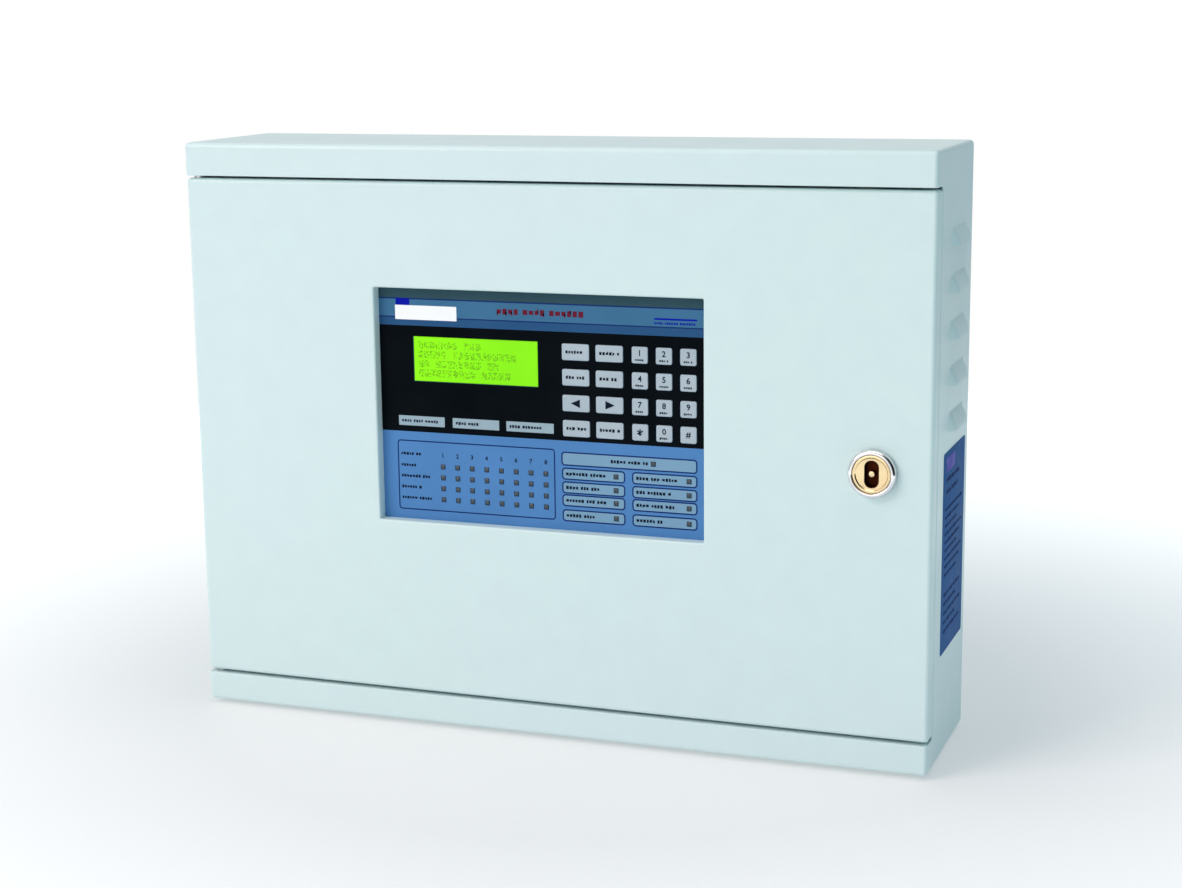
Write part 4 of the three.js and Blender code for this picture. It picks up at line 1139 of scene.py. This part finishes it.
def build_fittings():
    """Clamp screws, cover screws and blank labels."""
    screws, labels, marks = bmesh.new(), bmesh.new(), bmesh.new()
    for node, ways in (("detector_terminals", 12), ("output_terminals", 10), ("mains_terminals", 4)):
        low, high = span(node)
        for i in range(ways):
            x = low.x + (i + 0.5) * (high.x - low.x) / ways
            add_screw(screws, x, low.y, (low.z + high.z) / 2, 2.6, 0.9, 0.3 + i * 0.7)
    low, high = span("power_supply")
    for x in (low.x + 6, high.x - 6):
        for z in (low.z + SUPPLY_STEP + 7, high.z - 7):
            add_screw(screws, x, low.y, z, 3, 1.4)
    supply_terminals(screws, low, high)
    piece("clamp_screws", screws, ZINC, "enclosure")

    def note(x, z, y, rows, seed):
        """A blank label on the plane y, with rows of unreadable print."""
        def patch(mesh, u, v, lift):
            across, up = (x[0] + u[0], x[0] + u[1]), (z[1] - v[1], z[1] - v[0])
            add_block(mesh, across, (y - 0.11 - lift, y - 0.1), up)

        add_block(labels, x, (y - 0.12, y), z)
        pitch = (z[1] - z[0]) / (rows + 1)
        for row in range(rows):
            length = x[1] - x[0] - 6 - row % 2 * 8
            word(marks, 2, pitch * (row + 1), length, pitch * 0.45, seed + row, place=patch)

    note((low.x + 28, high.x - 28), (low.z + SUPPLY_STEP + 4, low.z + SUPPLY_STEP + 24), low.y, 4, 300)
    for seed, name in ((320, "battery_left"), (340, "battery_right")):
        low, high = span(name)
        middle = (low.x + high.x) / 2
        note((middle - 42, middle + 42), (low.z + 12, low.z + 36), low.y, 4, seed)
    low, high = span("relay_bank")
    for i in range(RELAY_COUNT):
        x = low.x + 8 + i * RELAY_PITCH
        note((x - 5.5, x + 5.5), (low.z + 5, high.z - 5), low.y, 3, 360 + i)
    piece("blank_labels", labels, WHITE_INK, "enclosure")
    piece("label_print", marks, DARK_TEXT, "enclosure")


def build_battery_ends():
    """Push-on connectors with sleeves on the battery tabs, and raised vent strips on the lids."""
    red, black, strips = bmesh.new(), bmesh.new(), bmesh.new()
    outline = round_rectangle(8, 4.5, 1.2, 3)
    for name in ("battery_left", "battery_right"):
        low, high = span(name)
        for side, sleeve in ((-1, black), (1, red)):
            x = (low.x + high.x) / 2 + side * BATTERY_TAB_X
            levels = ((1, high.z - 5.4), (1, high.z - 0.4), (0.8, high.z))
            add_loops(sleeve, [[Vector((x + a * grow, BATTERY_TAB_Y + b * grow, z)) for a, b in outline]
                               for grow, z in levels])
        for part in (0.35, 0.65):
            x = low.x + (high.x - low.x) * part
            add_block(strips, (x - 14, x + 14), (low.y + 4, low.y + 44), (high.z - 6.2, high.z - 5.5))
    bevel(piece("battery_sleeves_red", red, WIRE_RED, "enclosure", 50), 0.3)
    bevel(piece("battery_sleeves_black", black, WIRE_BLACK, "enclosure", 50), 0.3)
    bevel(piece("battery_vent_strips", strips, BLACK_PLASTIC, "enclosure"), 0.3)


def build_display_parts():
    """The back of the display board: chips, header pins and small parts."""
    y = DISPLAY_BOARD_BACK
    chips, legs, pins, bodies = (bmesh.new() for _ in range(4))
    for x, z in DISPLAY_CHIPS:
        add_chip(chips, legs, x, z, 9, 14, y, 7, 1)
    for row in range(10):
        for column in range(2):
            x, z = WINDOW_LEFT + 9.5 + column * 5, WINDOW_TOP - 36 - row * 2.4
            add_block(pins, (x - 0.35, x + 0.35), (y + 5.6, y + 8.6), (z - 0.35, z + 0.35))
    chance = random.Random(23)
    for i in range(26):
        x, z = -92 + (i % 13) * 14 + chance.uniform(-2, 2), (2 if i < 13 else -36) + chance.uniform(-2, 2)
        add_block(bodies, (x - 1.3, x + 1.3), (y - 0.1, y + 0.9), (z - 0.8, z + 0.8))
    bevel(piece("display_chips", chips, BLACK_PLASTIC, "door"), 0.2)
    piece("display_chip_legs", legs, SOLDER, "door")
    piece("display_header_pins", pins, BRASS, "door")
    piece("display_small_parts", bodies, CREAM, "door")


def dress_nodes():
    """Carried-over nodes keep their shape and get their material and softened edges."""
    dressing = {
        "lock_strike": ZINC, "chassis_plate": ZINC, "battery_strap": ZINC, "display_plate": ZINC,
        "hinge_pin_top": ZINC, "hinge_pin_bottom": ZINC, "lock_nut": ZINC, "lock_cam": ZINC,
        "cam_screw": ZINC, "power_supply": COVER_GREY, "earth_stud": BRASS, "legend_card": CREAM,
        "main_circuit_board": BOARD_GREEN, "display_circuit_board": BOARD_GREEN,
        "lcd_module": BLACK_PLASTIC, "processor": BLACK_PLASTIC,
        "ribbon_socket": BLACK_PLASTIC, "battery_left": BLACK_PLASTIC, "battery_right": BLACK_PLASTIC,
        "mains_terminals": BLACK_PLASTIC, "mains_fuse_holder": BLACK_PLASTIC, "sounder": BLACK_PLASTIC,
        "cable_grommet_left": RUBBER, "cable_grommet_right": RUBBER, "detector_terminals": TERMINAL_GREEN,
        "output_terminals": TERMINAL_GREEN, "relay_bank": RELAY_BLUE, "battery_link_wire": WIRE_RED,
    }
    for name, material in dressing.items():
        NODES[name].material_slots[0].material = material
        bevel(NODES[name], 0.25, 2, 50)


RIBBON_ROUTE = [
    (-96.5, -79.5), (-120, -79.5), (-150, -79.5), (-180, -78), (-203, -66),
    (-205, -48), (-186, -38), (-162, -35.5), (-151, -31), (-150, -24),
]


def build_ribbon():
    """A flat cable of parallel cores, laid along a fixed route."""
    low, high = span("display_ribbon_cable")
    cores = 20
    path = smooth_route(RIBBON_ROUTE, 80)
    pitch = (high.z - low.z) / cores
    loops = []
    for i, (x, y) in enumerate(path):
        before, after = path[max(0, i - 1)], path[min(len(path) - 1, i + 1)]
        along = Vector((after[0] - before[0], after[1] - before[1])).normalized()
        normal = Vector((-along.y, along.x))
        ring = []
        for side, order, end in ((1, range(cores), 0), (-1, range(cores)[::-1], 1)):
            for core in order:
                for across, half in ((end, 0.22), (0.5, 0.45)):
                    z = low.z + (core + across) * pitch
                    ring.append(Vector((x + side * normal.x * half, y + side * normal.y * half, z)))
        loops.append(ring)
    mesh = bmesh.new()
    add_loops(mesh, loops)
    ribbon = piece("ribbon_cable", mesh, RIBBON_GREY, None, 60)
    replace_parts(ribbon, "display_ribbon_cable")
    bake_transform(ribbon)


def smooth_route(points, count):
    """Evenly spaced points on a smooth curve through the given ones."""
    dense = []
    padded = [points[0], *points, points[-1]]
    between = 20
    for a, b, c, d in zip(padded, padded[1:], padded[2:], padded[3:]):
        for i in range(between):
            t = i / between
            dense.append(tuple(
                0.5 * (2 * b[k] + (c[k] - a[k]) * t + (2 * a[k] - 5 * b[k] + 4 * c[k] - d[k]) * t ** 2
                       + (3 * b[k] - a[k] - 3 * c[k] + d[k]) * t ** 3) for k in range(2)))
    dense.append(points[-1])
    step = (len(dense) - 1) / (count - 1)
    return [dense[round(i * step)] for i in range(count)]


# ---- floor ----

def add_floor():
    """A disc of pale paper that glows to plain white towards its edge, like a seamless backdrop."""
    paper = Surface(
        "floor_paper", srgb(205, 206, 207), 0.8, Specular_IOR_Level=0.1, Emission_Color=(1, 1, 1, 1))
    paper.tint(paper.spread(paper.noise(3, 3), 0, 0.3), srgb(200, 202, 204))
    paper.relief(paper.noise(300, 2), 0.0002, 0.1)
    away = add_node(paper.tree, "VectorMath")
    away.operation = "LENGTH"
    paper.link(paper.place, away.inputs[0])
    glow = paper.spread(away.outputs["Value"], 0.3, 1.0, 0.25, 0.95)
    paper.link(glow, paper.shader.inputs["Emission Strength"])
    mesh = bmesh.new()
    bmesh.ops.create_circle(mesh, cap_ends=True, segments=96, radius=1.1)
    data = bpy.data.meshes.new("floor")
    mesh.to_mesh(data)
    mesh.free()
    data.materials.append(paper.material)
    floor = bpy.data.objects.new("floor", data)
    floor.location.z = cad_box[0][2] - 0.0005
    bpy.context.collection.objects.link(floor)


add_camera()
add_studio()
add_floor()
build_shell()
build_door()
build_film()
build_title()
build_legends()
build_screen()
build_zone_prints()
build_status_prints()
build_leds()
build_keys()
build_lock()
build_side_label()
build_ribbon()
build_board_parts()
build_fittings()
build_battery_ends()
build_display_parts()
dress_nodes()
